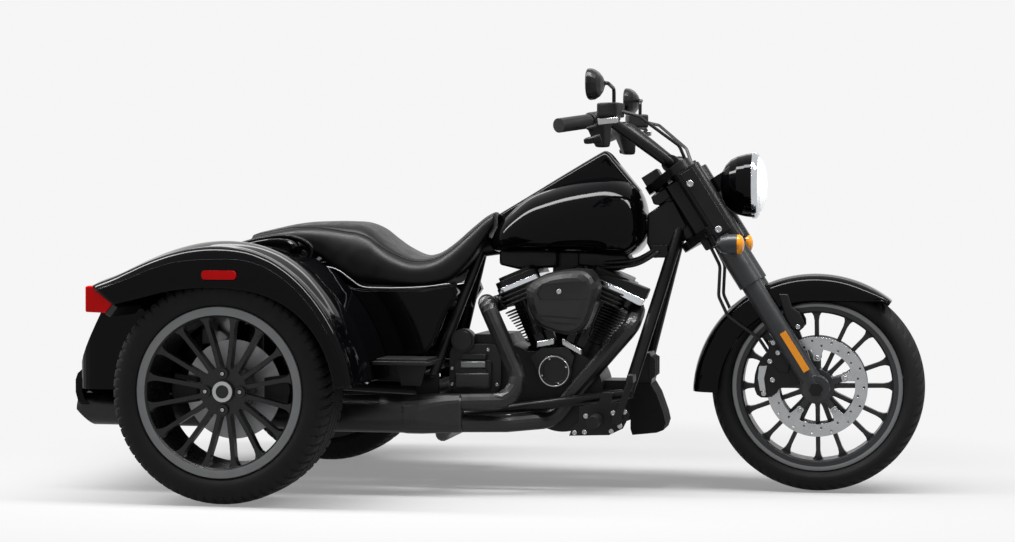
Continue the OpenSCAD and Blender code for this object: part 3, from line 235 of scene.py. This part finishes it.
def piece(name, points, faces, mat, body, stands_for=(), sharp=None):
    """Mesh from points in table millimetres, that rides on a body and may stand for CAD nodes."""
    mesh = bpy.data.meshes.new(name)
    mesh.from_pydata([tuple(row(*p)) for p in points], [], faces)
    mesh.update()
    mesh.polygons.foreach_set("use_smooth", [True] * len(mesh.polygons))
    if sharp:
        mesh.set_sharp_from_angle(angle=math.radians(sharp))
    mesh.materials.append(mat)
    obj = bpy.data.objects.new(name, mesh)
    bpy.context.scene.collection.objects.link(obj)
    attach(obj, body)
    if stands_for:
        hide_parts(*stands_for)
    return obj


def grid_faces(m, n, closed):
    """Quads of m rows of n points; closed joins the last point of each row to its first."""
    return [(j * n + i, j * n + (i + 1) % n, (j + 1) * n + (i + 1) % n, (j + 1) * n + i)
            for j in range(m - 1) for i in range(n if closed else n - 1)]


def ring_faces(m, n):
    """Quads of m closed rings of n points, and a face on each end."""
    k = (m - 1) * n
    return grid_faces(m, n, True) + [tuple(range(n - 1, -1, -1)), tuple(range(k, k + n))]


def round_steps(n):
    return np.linspace(0, 2 * math.pi, n, endpoint=False)


def lathe(line, n=48):
    """Points and faces of a line of (radius, height) turned round Z."""
    points = [(r * math.cos(a), r * math.sin(a), z) for r, z in line for a in round_steps(n)]
    return points, [f[::-1] for f in grid_faces(len(line), n, True)]


def closed_skin(rings):
    """Points and faces of rings with their two ends drawn together."""
    rings = [np.array(r) for r in rings]
    first, last = rings[0], rings[-1]
    heads = [first.mean(0) + (first - first.mean(0)) * s for s in (0.05, 0.5, 0.8)]
    tails = [last.mean(0) + (last - last.mean(0)) * s for s in (0.8, 0.5, 0.05)]
    rings = heads + rings + tails
    faces = [f[::-1] for f in ring_faces(len(rings), len(first))]
    return [tuple(p) for r in rings for p in r], faces


def body_ring(x, low, top, half_w, belt, e_low, e_top, n):
    """Ring across X, widest at the share belt of its height, squarer with larger exponents."""
    middle = low + belt * (top - low)
    out = []
    for a in 2 * math.pi * np.arange(n) / n:
        c, s = math.cos(a), math.sin(a)
        e, h = (e_low, middle - low) if s < 0 else (e_top, top - middle)
        y = half_w * math.copysign(abs(c) ** (2 / e), c)
        out.append((x, y, middle + h * math.copysign(abs(s) ** (2 / e), s)))
    return out


def tube(points, r, n=16):
    """Points and faces of a round bar along a line; its radius may change along the line."""
    p = np.array(points, float)
    d = np.gradient(p, axis=0)
    d /= np.linalg.norm(d, axis=1)[:, None]
    side = np.cross(d[0], (0.3, 0.2, 1))
    rings = []
    for at, along, size in zip(p, d, np.broadcast_to(r, len(p))):
        side = side - along * side.dot(along)
        side /= np.linalg.norm(side)
        up = np.cross(along, side)
        rings.append([at + size * (side * math.cos(a) + up * math.sin(a)) for a in round_steps(n)])
    return [tuple(q) for ring in rings for q in ring], ring_faces(len(rings), n)


def sheet_grid(rows):
    """Points and faces of an open sheet of rows."""
    return [tuple(p) for r in rows for p in r], grid_faces(len(rows), len(rows[0]), False)


def thicken(obj, t):
    """Sheet of a thickness, added on its inner side."""
    mod = obj.modifiers.new("sheet", "SOLIDIFY")
    mod.thickness = t * MM
    mod.offset = -1


# Tank and console: place along X, bottom, top, half width.
# Their forms: share of the height that is widest, exponents below and above it, points round.
TANK = [(672, 732, 766, 52), (690, 722, 800, 83), (730, 718, 846, 114), (790, 718, 893, 138),
        (860, 717, 921, 155), (930, 716, 941, 165), (1000, 713, 953, 172), (1050, 708, 955, 170),
        (1095, 708, 942, 163), (1122, 720, 922, 150), (1139, 738, 896, 127), (1149, 762, 862, 96),
        (1153, 784, 830, 65)]
TANK_FORM = (0.36, 3.4, 2.3, 64)
CONSOLE = [(690, 770, 838, 34), (786, 815, 894, 46), (880, 850, 950, 54), (958, 872, 996, 58),
           (1012, 880, 1027, 58), (1026, 880, 1032, 58), (1038, 878, 1026, 58),
           (1052, 874, 1010, 58), (1088, 862, 966, 55), (1132, 842, 912, 46)]
CONSOLE_FORM = (0.5, 8, 4.6, 64)

piece("tank_skin", *closed_skin([body_ring(*t, *TANK_FORM) for t in spline(TANK, 5)]),
      paint, "chassis", ["fuel_tank"])
piece("console_skin", *closed_skin([body_ring(*t, *CONSOLE_FORM) for t in spline(CONSOLE, 4)]),
      paint, "chassis", ["tank_console"])

# Rear fenders: angle round the axle, reach beyond the tyre of crest, crease and lower edge
FENDER = [(141, 175, 133, 71), (134, 145, 105, 41), (127, 129, 87, 19), (119, 119, 75, 3),
          (110, 113, 66, -11), (100, 110, 58, -20), (89, 108, 55, -24), (78, 105, 61, -22),
          (72, 102, 61, -18), (67, 99, 61, -14), (56, 90, 55, -5), (45, 81, 49, 3),
          (34, 76, 45, 10), (23, 75, 47, 15), (12, 77, 51, 19), (3, 80, 55, 23)]
FENDER_IN = 430.1
FENDER_OUT = 693.5
FENDER_SHEET = 4


def on_rear_wheel(a, r, y):
    """Point at an angle and a reach beyond the rear tyre."""
    return ((REAR_R + r) * math.cos(a), y, REAR_R + (REAR_R + r) * math.sin(a))


def fender_row(degrees, crest, crease, edge):
    """Line across the fender from its inner foot over the crest to its lower edge."""
    top = spline([(crest - 40, -FENDER_IN), (crest - 15, -FENDER_IN - 14),
                  (crest - 5, -FENDER_IN - 60), (crest, -FENDER_IN - 130),
                  (crest - 3, -FENDER_OUT + 92), (crest - 12, -FENDER_OUT + 48),
                  ((crest + crease) / 2 + 4, -FENDER_OUT + 18), (crease + 3, -FENDER_OUT)], 5)
    line = [(crest - 75, -FENDER_IN)] + list(top)
    line += [(crease - 3, -FENDER_OUT + 2.5), (crease - 8, -FENDER_OUT + 4),
             ((crease + edge) / 2, -FENDER_OUT + 4), (edge + 8, -FENDER_OUT + 4),
             (edge + 4, -FENDER_OUT + 1.5), (edge, -FENDER_OUT + 1.5)]
    return [on_rear_wheel(math.radians(degrees), r, y) for r, y in line]


for which, side in SIDES:
    rows = [fender_row(*t) for t in spline(FENDER, 5)]
    points, faces = sheet_grid([[(x, -side * y, z) for x, y, z in r] for r in rows])
    if side > 0:
        faces = [f[::-1] for f in faces]
    skin = piece("fender_skin_" + which, points, faces, paint, "chassis", ["fender_" + which], 38)
    thicken(skin, FENDER_SHEET)

# Front fender: its own middle, radius, half width, and the angles it spans
FRONT_MID = (WHEELBASE - 6, FRONT_R - 31)
FRONT_FENDER_R = 365
FRONT_HALF = 78
FRONT_SPAN = (52, 178)
FRONT_DEPTH = (14, 84)
FRONT_EDGE_Z = 289


def on_front_fender(a, r, y):
    """Point at an angle and a reach beyond the crest of the front fender."""
    reach = FRONT_FENDER_R + r
    return (FRONT_MID[0] + reach * math.cos(a), y, FRONT_MID[1] + reach * math.sin(a))


def front_row(a):
    """Line across the front fender; its sides end on a level line ahead of the axle."""
    level = FRONT_FENDER_R - FRONT_EDGE_Z / math.sin(min(a, math.pi / 2))
    depth = min(FRONT_DEPTH[1], max(FRONT_DEPTH[0], level))
    u, v, w = min(30, depth * 0.6), min(15, depth * 0.3), min(5, depth * 0.1)
    half = spline([(-u, FRONT_HALF), (-v, FRONT_HALF - 6), (-w, FRONT_HALF - 22),
                   (0, FRONT_HALF - 48), (1, 0)], 5)
    side = [(-depth, FRONT_HALF - 1), (-depth + 3, FRONT_HALF + 1), (-depth + 6, FRONT_HALF),
            (-(depth + u) / 2, FRONT_HALF)]
    line = side + list(half)
    line = [(r, -y) for r, y in line] + [(r, y) for r, y in line[-2::-1]]
    return [on_front_fender(a, r, y) for r, y in line]


points, faces = sheet_grid([front_row(a) for a in np.radians(np.linspace(*FRONT_SPAN, 64))])
thicken(piece("front_fender_skin", points, [f[::-1] for f in faces], paint, "steering",
              ["front_fender"], 50), FENDER_SHEET)

# Tyres: share of the height and of the half width; the tread is cut in
FRONT_TYRE = [(0.17, 0.71), (0.21, 0.8), (0.33, 0.96), (0.45, 1), (0.6, 0.97), (0.74, 0.86),
              (0.86, 0.66), (0.95, 0.38), (1, 0.0)]
REAR_TYRE = [(0.19, 0.86), (0.23, 0.91), (0.35, 0.98), (0.5, 1), (0.68, 0.99), (0.82, 0.95),
             (0.93, 0.84), (0.985, 0.6), (1, 0.3), (1, 0.0)]
FRONT_RIM_R, FRONT_TYRE_W, FRONT_STEPS = 241.3, 130, 600
REAR_RIM_R, REAR_TYRE_W, REAR_STEPS = 228.6, 215, 612
FRONT_CUT = 4.5
SIDE_RING_CUT = 1.0
REAR_CUT = 5.5


def tyre_piece(name, centre, rim_r, r, w, line, slots, around, body, node):
    """Tyre with slots in its tread, by angle, place across the tread and share of the height."""
    half = spline(line, 6)
    full = np.vstack([half, [(h, -y) for h, y in half[-2::-1]]])
    points = []
    for share, across in full:
        rise, y = rim_r + share * (r - rim_r), across * w / 2
        for a in round_steps(around):
            reach = rise - slots(a, across, share)
            x, z = centre[0] + reach * math.cos(a), centre[2] + reach * math.sin(a)
            points.append((x, centre[1] + y, z))
    piece(name, points, grid_faces(len(full), around, True), rubber, body, [node], 40)


def bar(value, middle, half):
    return 1.0 if abs(value - middle) < half else 0.0


def front_slots(a, across, share):
    s = abs(across)
    lean = (a * 30 / math.pi + s * 1.5) % 1
    cut = bar(lean, 0.5, 0.12) * (0.16 < s < 0.88 and share > 0.62)
    return FRONT_CUT * cut + SIDE_RING_CUT * bar(share, 0.40, 0.012)


def rear_slots(a, across, share):
    s = abs(across)
    lean = (a * 34 / math.pi + s * 0.9) % 1
    cut = bar(lean, 0.5, 0.13) * (0.34 < s and share > 0.72)
    groove = max(bar(s, 0.16, 0.03), bar(s, 0.46, 0.035)) * (share > 0.9)
    return REAR_CUT * max(cut, groove)


tyre_piece("front_tyre_tread", (WHEELBASE, 0, FRONT_R), FRONT_RIM_R, FRONT_R, FRONT_TYRE_W,
           FRONT_TYRE, front_slots, FRONT_STEPS, "front_wheel", "front_tyre")
for which, side in SIDES:
    tyre_piece("rear_tyre_tread_" + which, (0, side * HALF_TRACK, REAR_R), REAR_RIM_R, REAR_R,
               REAR_TYRE_W, REAR_TYRE, rear_slots, REAR_STEPS, "rear_wheel_" + which,
               "rear_tyre_" + which)

# Seat: place along X, base, top, half width
SEAT = [(-93, 748, 764, 80), (-76, 740, 780, 110), (-37, 736, 790, 133), (46, 735, 808, 148),
        (100, 722, 815, 152), (144, 704, 817, 156), (190, 670, 818, 161), (230, 638, 817, 167),
        (270, 620, 814, 175), (310, 614, 798, 184), (345, 613, 770, 190), (390, 613, 738, 190),
        (450, 613, 712, 184), (510, 614, 718, 169), (560, 628, 750, 144), (610, 678, 795, 114),
        (655, 752, 832, 87), (682, 800, 846, 65)]
SEAT_N = 96
SEAT_FORM = (0.34, 5, 2.7, SEAT_N)
SEAM_AT = {"right": SEAT_N // 2 - 11, "left": 11}
SEAM_DEPTH = {-1: 0.6, 0: 3.0, 1: 0.6}
WELT_R = 2.6


def seat_ring(section):
    """Ring of the seat with a sewn edge on each side."""
    ring = np.array(body_ring(*section, *SEAT_FORM))
    mid = ring.mean(0)
    for k in SEAM_AT.values():
        for step, depth in SEAM_DEPTH.items():
            out = ring[k + step] - mid
            ring[k + step] -= out / np.linalg.norm(out) * depth
    return ring


rings = [seat_ring(section) for section in spline(SEAT, 6)]
seat = piece("seat_cover", *closed_skin(rings), leather, "chassis", ["seat"])
smooth = seat.modifiers.new("round", "SUBSURF")
smooth.levels = smooth.render_levels = 1
for which, k in SEAM_AT.items():
    piece("seat_welt_" + which, *tube([r[k] for r in rings[4:-3]], WELT_R, 10), leather, "chassis")

# Helpers for fasteners, rings and covers


def fork_at(along, ahead, y):
    """Point along the fork from the front axle, ahead of it and to the left."""
    s, c = math.sin(RAKE), math.cos(RAKE)
    return (WHEELBASE - along * s + ahead * c, y, FRONT_R + along * c + ahead * s)


BOLT = [(0.0, 0.5), (0.42, 0.5), (0.48, 0.95), (0.62, 1.0), (0.88, 0.85), (1.0, 0.5), (1.0, -0.3)]


def bolts(name, places, mat, body, r, h, both=False):
    """Button heads with sockets on side faces; a place with y below zero faces right."""
    points, faces = [], []
    if both:
        places = list(places) + [(x, -y, z) for x, y, z in places]
    for x, y, z in places:
        head, quads = lathe([(q * r, t * h) for q, t in BOLT], 20)
        out = -1 if y < 0 else 1
        k = len(points)
        points += [(x + px, y + out * pz, z + py) for px, py, pz in head]
        faces += [tuple(i + k for i in (f if out < 0 else f[::-1])) for f in quads]
    piece(name, points, faces, mat, body, (), 40)


def on_circle(x, y, z, r, degrees):
    """Places round a point, in the plane of X and Z."""
    return [(x + r * math.cos(a), y, z + r * math.sin(a)) for a in np.radians(degrees)]


def ring_piece(name, centre, line, mat, body, n=96, out=-1):
    """Ring turned about the Y line through a point; heights of its line count outwards."""
    points, faces = lathe(line, n)
    points = [(centre[0] + px, centre[1] + out * pz, centre[2] + py) for px, py, pz in points]
    piece(name, points, faces if out < 0 else [f[::-1] for f in faces], mat, body, (), 40)


def on_side(u, v, y):
    return (u, y, v)


def on_steering(ahead, along, y):
    return fork_at(along, ahead, y)


def in_plan(ahead, y, along):
    return fork_at(along, ahead, y)


def prism(name, line, y0, y1, mat, body, soft, place=on_side, both=False, stands_for=(), steps=4):
    """Rounded block from an outline, between two places along Y, set by a placing function."""
    points, faces = [], []
    n = len(line)
    turn = sum(a[0] * b[1] - a[1] * b[0] for a, b in zip(line, line[1:] + line[:1])) > 0
    for lo, hi in [(y0, y1)] + ([(-y1, -y0)] if both else []):
        k = len(points)
        points += [place(u, v, y) for y in (lo, hi) for u, v in line]
        quads = [tuple(range(n)), tuple(range(2 * n - 1, n - 1, -1))]
        quads += [(i, i + n, (i + 1) % n + n, (i + 1) % n) for i in range(n)]
        faces += [tuple(i + k for i in (f if turn else f[::-1])) for f in quads]
    round_edges(piece(name, points, faces, mat, body, stands_for, 40), soft, steps)


# Bolts and faces of the chassis and the steering
TIMING_X, TIMING_Y, TIMING_Z = 886, -150, 362
FOOT_BOLTS = [(996, 236), (1078, 246), (1098, 208), (1112, 250), (1072, 192), (992, 188),
              (962, 186)]
GEARBOX_BOLTS = [(604, 424), (681, 424), (569, 366), (569, 318), (708, 318)]

bolts("fork_cover_bolts", [fork_at(712, 8, -172), fork_at(552, 8, -172)], steel, "steering", r=11,
      h=6, both=True)
bolts("foot_plate_bolts", [(x, -232, z) for x, z in FOOT_BOLTS], steel, "chassis", r=8, h=6,
      both=True)
bolts("gearbox_bolts", [(x, -138, z) for x, z in GEARBOX_BOLTS], steel, "chassis", r=6, h=5)
bolts("air_cleaner_bolt", [(925, -296, 608)], steel, "chassis", r=8, h=5)
bolts("timing_bolts", on_circle(TIMING_X, TIMING_Y, TIMING_Z, 39, (20, 110, 200, 290)), steel,
      "chassis", r=3, h=2)
bolts("caliper_bolts", [(1540, -100, 341), (1532, -100, 397), (1514, -100, 300), (1556, -103, 423),
                        (1542, -103, 453)], steel, "steering", r=8, h=5, both=True)
CALIPER_FACE = [(1500, 382), (1496, 346), (1503, 308), (1520, 306), (1515, 346), (1524, 384)]
prism("caliper_face_right", CALIPER_FACE, -102, -99.5, steel, "steering", soft=0.6, steps=2)
prism("caliper_face_left", CALIPER_FACE, 99.5, 102, steel, "steering", soft=0.6, steps=2)

# Bolts and rings of the wheels
LUG_R = 52
LUG_TURN = (0, 90, 180, 270)
HUB_RING = [(19, -1), (19, 2), (21, 3.5), (28, 3.5), (30, 2), (30, -1)]
REAR_RIM_RING = [(221, -8), (221, -1), (223, 0.8), (232, 1.2), (243, 1.2), (246.4, -1), (246.4, -5)]
FRONT_RIM_RING = [(240, -3), (241, 0.4), (243, 1.2), (251, 1.2), (254.4, -1), (254.4, -5)]

bolts("disc_bolts", on_circle(WHEELBASE, -57, FRONT_R, 88, [18 + 72 * i for i in range(5)]), steel,
      "front_wheel", r=7, h=5, both=True)
for which, side in SIDES:
    body = "rear_wheel_" + which
    bolts("lug_bolts_" + which, on_circle(0, side * (HALF_TRACK + 60), REAR_R, LUG_R, LUG_TURN),
          steel, body, r=6, h=5)
    ring_piece("hub_ring_" + which, (0, side * (HALF_TRACK + 62), REAR_R), HUB_RING, steel, body,
               64, side)
    ring_piece("rim_edge_" + which, (0, side * (HALF_TRACK + 98), REAR_R), REAR_RIM_RING, grey_lip_and_highlight, body,
               128, side)
    bolts("hub_bosses_" + which, on_circle(0, side * (HALF_TRACK + 58), REAR_R, LUG_R, LUG_TURN),
          wheel_paint, body, r=16, h=4)
for which, side in SIDES:
    ring_piece("front_rim_edge_" + which, (WHEELBASE, side * 52, FRONT_R), FRONT_RIM_RING, grey_lip_and_highlight,
               "front_wheel", 128, side)

# Lenses at the rear and covers round the steering head
prism("tail_lamp_lenses", [(-377, 630), (-397, 628), (-397, 553), (-336, 551), (-313, 579)], -679.5,
      -480, red, "chassis", soft=5, both=True, stands_for=["tail_lamps"])
prism("lamp_base", [(-338, 549), (-312, 580), (-298, 568), (-322, 538)], -677, -480, soft_grey,
      "chassis", soft=4, both=True)
prism("neck_cover", [(1156, 838), (1212, 877), (1237, 881), (1278, 803), (1256, 771), (1234, 749),
                     (1221, 708), (1174, 703), (1162, 733), (1154, 749)], -38, 38, satin, "chassis",
      soft=6)
prism("head_box", [(-129, 727), (-124, 752), (-70, 752), (-70, 718), (-117, 716)], -42, 42, satin,
      "chassis", soft=5, place=on_steering)
prism("fork_shroud", [(33, -80), (33, 80), (-66, 80), (-66, 60), (-43, 56), (-43, -56), (-66, -60),
                      (-66, -80)], 520, 752, satin, "steering", soft=6, place=in_plan)

# Caps of the valve lifters, side of the front rocker cover, ring of the timing cover
prism("lifter_cap_rear", [(830, 432), (884, 443), (884, 461), (830, 450)], -137, -112, steel,
      "chassis", soft=3)
prism("lifter_cap_front", [(908, 442), (967, 410), (967, 428), (908, 460)], -137, -112, steel,
      "chassis", soft=3)
prism("rocker_side_front", [(1019, 633), (1014, 648), (1046, 654), (1109, 636), (1172, 611),
                            (1159, 579), (1047, 629)], -124, -70, satin, "chassis", soft=5)
prism("rocker_band_front", [(1042, 622), (1050, 628), (1158, 580), (1148, 560), (1136, 564),
                            (1046, 610)], -131, -84, chrome, "chassis", soft=3)
ring_piece("timing_ring", (TIMING_X, TIMING_Y, TIMING_Z), [(43.5, -3), (43.5, 0.8), (44.5, 1.6),
                                                           (46.5, 1.6), (47.2, 0.8), (47.2, -6)],
           steel, "chassis")

# Cap over the bar clamps
BAR_CAP = [(0.0, 66), (24, 66), (34, 62), (40, 52), (42, 30), (42, -30), (40, -52), (34, -62),
           (24, -66), (0.0, -66)]
BAR_CAP_ALONG, BAR_CAP_AHEAD = 774, -6
points, faces = lathe(BAR_CAP)
points = [fork_at(BAR_CAP_ALONG + py, BAR_CAP_AHEAD + px, pz) for px, py, pz in points]
piece("bar_clamp_cover", points, faces, satin, "steering", (), 40)

# Ears that hold the calipers, and brackets of the front fender
prism("caliper_ears", [(1528, 404), (1527, 452), (1536, 465), (1550, 466), (1568, 432), (1594, 392),
                       (1588, 362), (1556, 366)], -103, -86, cast, "steering", soft=4, both=True)
prism("fender_brackets", [(1556, 598), (1584, 598), (1597, 558), (1619, 543), (1632, 517),
                          (1633, 500), (1620, 488), (1598, 491), (1576, 528)], -90, -79, cast,
      "steering", soft=3, both=True)
bolts("bracket_bolts", [(1614, -90, 500)], steel, "steering", r=8, h=5, both=True)

# Wiring that runs from the head under the tank: name, place across, drop, radius
LOOMS = (("loom_1", -44, 0, 8), ("loom_2", -58, 14, 6))
for name, y, drop, r in LOOMS:
    run = [(1196, y, 738 - drop), (1130, y - 12, 700 - drop), (1060, y - 16, 690 - drop),
           (990, y, 686 - drop), (930, y + 14, 668 - drop)]
    piece(name, *tube(spline(run, 8), r, 12), hose_rubber, "chassis")

# Covers under the tank
prism("tank_under_rear", [(700, 732), (880, 728), (880, 674), (760, 668), (700, 682)], -60, 60,
      satin, "chassis", soft=8)
prism("tank_under_front", [(945, 728), (1090, 718), (1112, 694), (1070, 664), (945, 678)], -60, 60,
      satin, "chassis", soft=8)

# Dark guards behind the boards and under the rail
prism("inner_guard", [(255, 330), (255, 448), (292, 470), (452, 470), (470, 436), (470, 330)], -200,
      -194, satin, "chassis", soft=2, both=True)
prism("shoulder_fill", [(60, 690), (60, 735), (132, 728), (150, 690)], -250, -206, paint, "chassis",
      soft=8, both=True)

# Rail round the shoulder of the body; its front end turns inwards below RAIL_BEND
RAIL = [(-92, 738), (-60, 747), (-23, 757), (15, 764), (53, 769), (90, 767), (122, 758), (146, 744),
        (155, 728), (150, 708), (139, 689)]
RAIL_Y = 248
RAIL_BEND = 700
RAIL_SLOPE = 1.5
RAIL_R = 8
for which, side in SIDES:
    run = [(x, side * (RAIL_Y - RAIL_SLOPE * max(0, RAIL_BEND - z)), z) for x, z in spline(RAIL, 5)]
    piece("body_rail_" + which, *tube(run, RAIL_R, 14), paint, "chassis")

# Controls and mirrors, reshaped from copies of their nodes


def reshaped(name, node, body, move=None, voxel=0, rounds=0):
    """Copy of a node's mesh, moved, evened out and rounded, that stands for the node."""
    obj = bpy.data.objects.new(name, nodes[node].data.copy())
    if move:
        points = np.empty(len(obj.data.vertices) * 3)
        obj.data.vertices.foreach_get("co", points)
        points = points.reshape(-1, 3) / MM
        points[:, 0] += X_MID
        move(points)
        points[:, 0] -= X_MID
        obj.data.vertices.foreach_set("co", (points * MM).ravel())
    bpy.context.scene.collection.objects.link(obj)
    if voxel:
        even = obj.modifiers.new("even", "REMESH")
        even.mode = "VOXEL"
        even.voxel_size = voxel * MM
        even.use_smooth_shade = True
        calm = obj.modifiers.new("round", "SMOOTH")
        calm.factor = 0.5
        calm.iterations = rounds
    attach(obj, body)
    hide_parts(node)


PEDAL_X = 1085
PEDAL_FOOT, PEDAL_RISE = 236, 110
PEDAL_BACK = 50
PAD_LOW, PAD_SHARE = 300, 0.35


def draw_pedal_back(p):
    """Pedal pad drawn back and lowered, beside the chin cover."""
    arm = p[:, 0] > PEDAL_X
    p[:, 0] -= PEDAL_BACK * np.clip((p[:, 2] - PEDAL_FOOT) / PEDAL_RISE, 0, 1) * arm
    high = arm & (p[:, 2] > PAD_LOW)
    p[high, 2] = PAD_LOW + (p[high, 2] - PAD_LOW) * PAD_SHARE


SWITCH_TAPER = 0.6
SWITCH_AHEAD, SWITCH_DROP = 10, 12


def taper_switches(p):
    """Switch housings drawn in towards their lower end."""
    low = p[:, 2] < p[:, 2].min() + 1
    for _, side in SIDES:
        end = low & (p[:, 1] * side > 0)
        mid = p[end].mean(0)[:2]
        p[end, :2] = mid + (p[end, :2] - mid) * SWITCH_TAPER + (SWITCH_AHEAD, 0)
        p[end, 2] -= SWITCH_DROP


reshaped("foot_control_set", "foot_controls", "chassis", draw_pedal_back)
reshaped("hand_control_set", "hand_controls", "steering", taper_switches, 2.5, 30)
reshaped("mirror_set", "mirrors", "steering", None, 2.2, 5)

# Bright ends of the levers, plates of the gearbox, ends of the switches
prism("lever_caps", [(1056, 1109), (1116, 1113), (1116, 1097), (1058, 1091)], -424, -412, steel,
      "steering", soft=3, both=True)
prism("gearbox_plate", [(598, 389), (677, 390), (677, 369), (598, 368)], -162, -150, grey_lip_and_highlight, "chassis",
      soft=4)
prism("gearbox_pad", [(582, 353), (690, 355), (690, 308), (579, 306)], -163, -150, soft_grey,
      "chassis", soft=6)
SWITCH_END_R = (13, 12.5, 12, 11.5, 11, 10.5, 10, 9, 6)
for which, side in SIDES:
    run = spline([(1062, side * 395, 1056), (1040, side * 396, 1050), (1014, side * 397, 1045)], 4)
    piece("switch_end_" + which, *tube(run, SWITCH_END_R), satin, "steering")

# Fine line along the crease of each rear fender, and the bead along each side of the seat; the
# bead's light grey metal is a painted highlight for the bright line along the body edge
CREASE_R = 1.7
BEAD = [(152, 684), (221, 669), (265, 640), (301, 617), (360, 613), (420, 613), (498, 617),
        (577, 627)]
BEAD_Y = 206
BEAD_R = 2.2
for which, side in SIDES:
    line = [on_rear_wheel(math.radians(a), crease + 1, side * (FENDER_OUT + 0.3))
            for a, _, crease, _ in spline(FENDER, 5)]
    piece("fender_crease_" + which, *tube(line, CREASE_R, 8), paint, "chassis")
    bead = [(x, side * BEAD_Y, z) for x, z in spline(BEAD, 6)]
    # Light grey bead: a painted highlight for the bright line along the body edge
    piece("seat_bead_" + which, *tube(bead, BEAD_R, 8), grey_lip_and_highlight, "chassis")

# Panel line on each side of the front fender
FENDER_LINE_IN = 40
FENDER_LINE_SPAN = (118, 172)
FENDER_LINE_R = 1.2
for which, side in SIDES:
    line = [on_front_fender(a, -FENDER_LINE_IN, side * (FRONT_HALF + 0.4))
            for a in np.radians(np.linspace(*FENDER_LINE_SPAN, 40))]
    piece("fender_line_" + which, *tube(line, FENDER_LINE_R, 8), soft_grey, "steering")

# Floor, lights and background: lengths in metres, power in watts

PALE = 0.92
FLOOR_HALF = 60
FLOOR_TONE = 0.27
FLOOR_FADE = (0.9, 2.3)
FLOOR_GLOW = 0.28
STUDIO_LIGHT = 0.36
TOP_STRIP = ((-2.6, -0.7, 3.3), (-2.6, 0, 0.4), (13.0, 0.5), 1050)
FAR_STRIP = ((-0.3, 3.4, 2.9), (0, 0, 0.5), (5.0, 0.35), 18)


def stage_floor():
    """Wide pale floor, with the shadow near the object, that fades into the background."""
    mesh = bpy.data.meshes.new("floor")
    s = FLOOR_HALF
    mesh.from_pydata([(-s, -s, 0), (s, -s, 0), (s, s, 0), (-s, s, 0)], [], [(0, 1, 2, 3)])
    floor = bpy.data.objects.new("floor", mesh)
    bpy.context.scene.collection.objects.link(floor)
    mat = bpy.data.materials.new("floor_paper")
    mat.use_nodes = True
    n = Nodes(mat.node_tree)
    shader = mat.node_tree.nodes["Principled BSDF"]
    shader.inputs["Base Color"].default_value = (FLOOR_TONE, FLOOR_TONE, FLOOR_TONE, 1)
    shader.inputs["Roughness"].default_value = 0.9
    shader.inputs["Specular IOR Level"].default_value = 0.0
    away = n.add("ShaderNodeVectorMath", operation="LENGTH")
    n.put(n.add("ShaderNodeTexCoord").outputs["Object"], away.inputs[0])
    fade = n.add("ShaderNodeMapRange", Value=away.outputs["Value"], interpolation_type="SMOOTHSTEP")
    fade.inputs["From Min"].default_value, fade.inputs["From Max"].default_value = FLOOR_FADE
    fade.inputs["To Min"].default_value = FLOOR_GLOW
    flat = n.add("ShaderNodeEmission", Color=(PALE, PALE, PALE, 1), Strength=1.0)
    both = n.add("ShaderNodeMixShader", Fac=fade.outputs["Result"])
    n.put(shader.outputs["BSDF"], both.inputs[1])
    n.put(flat.outputs["Emission"], both.inputs[2])
    n.put(both.outputs["Shader"], mat.node_tree.nodes["Material Output"].inputs["Surface"])
    mesh.materials.append(mat)


def soft_light(name, at, aim, size, power):
    """Rectangular lamp that looks at a point."""
    lamp = bpy.data.lights.new(name, "AREA")
    lamp.shape = "RECTANGLE"
    lamp.size, lamp.size_y = size
    lamp.energy = power
    obj = bpy.data.objects.new(name, lamp)
    obj.location = at
    obj.rotation_mode = "QUATERNION"
    obj.rotation_quaternion = (Vector(aim) - Vector(at)).to_track_quat("-Z", "Y")
    bpy.context.scene.collection.objects.link(obj)


def studio_world(strength):
    """Soft light from all round; camera, glossy and transmission rays see the pale background."""
    world = bpy.data.worlds.new("studio")
    bpy.context.scene.world = world
    world.use_nodes = True
    n = Nodes(world.node_tree)
    light = world.node_tree.nodes["Background"]
    light.inputs["Color"].default_value = (1, 1, 1, 1)
    light.inputs["Strength"].default_value = strength
    seen = n.add("ShaderNodeBackground", Color=(PALE, PALE, PALE, 1), Strength=1.0)
    path = n.add("ShaderNodeLightPath")
    first = n.add("ShaderNodeMath", operation="MAXIMUM")
    n.put(path.outputs["Is Camera Ray"], first.inputs[0])
    n.put(path.outputs["Is Glossy Ray"], first.inputs[1])
    either = n.add("ShaderNodeMath", operation="MAXIMUM")
    n.put(first.outputs["Value"], either.inputs[0])
    n.put(path.outputs["Is Transmission Ray"], either.inputs[1])
    both = n.add("ShaderNodeMixShader", Fac=either.outputs["Value"])
    n.put(light.outputs["Background"], both.inputs[1])
    n.put(seen.outputs["Background"], both.inputs[2])
    n.put(both.outputs["Shader"], world.node_tree.nodes["World Output"].inputs["Surface"])


stage_floor()
studio_world(STUDIO_LIGHT)
soft_light("top_strip", *TOP_STRIP)
soft_light("far_strip", *FAR_STRIP)

bpy.context.scene.view_settings.view_transform = "Standard"
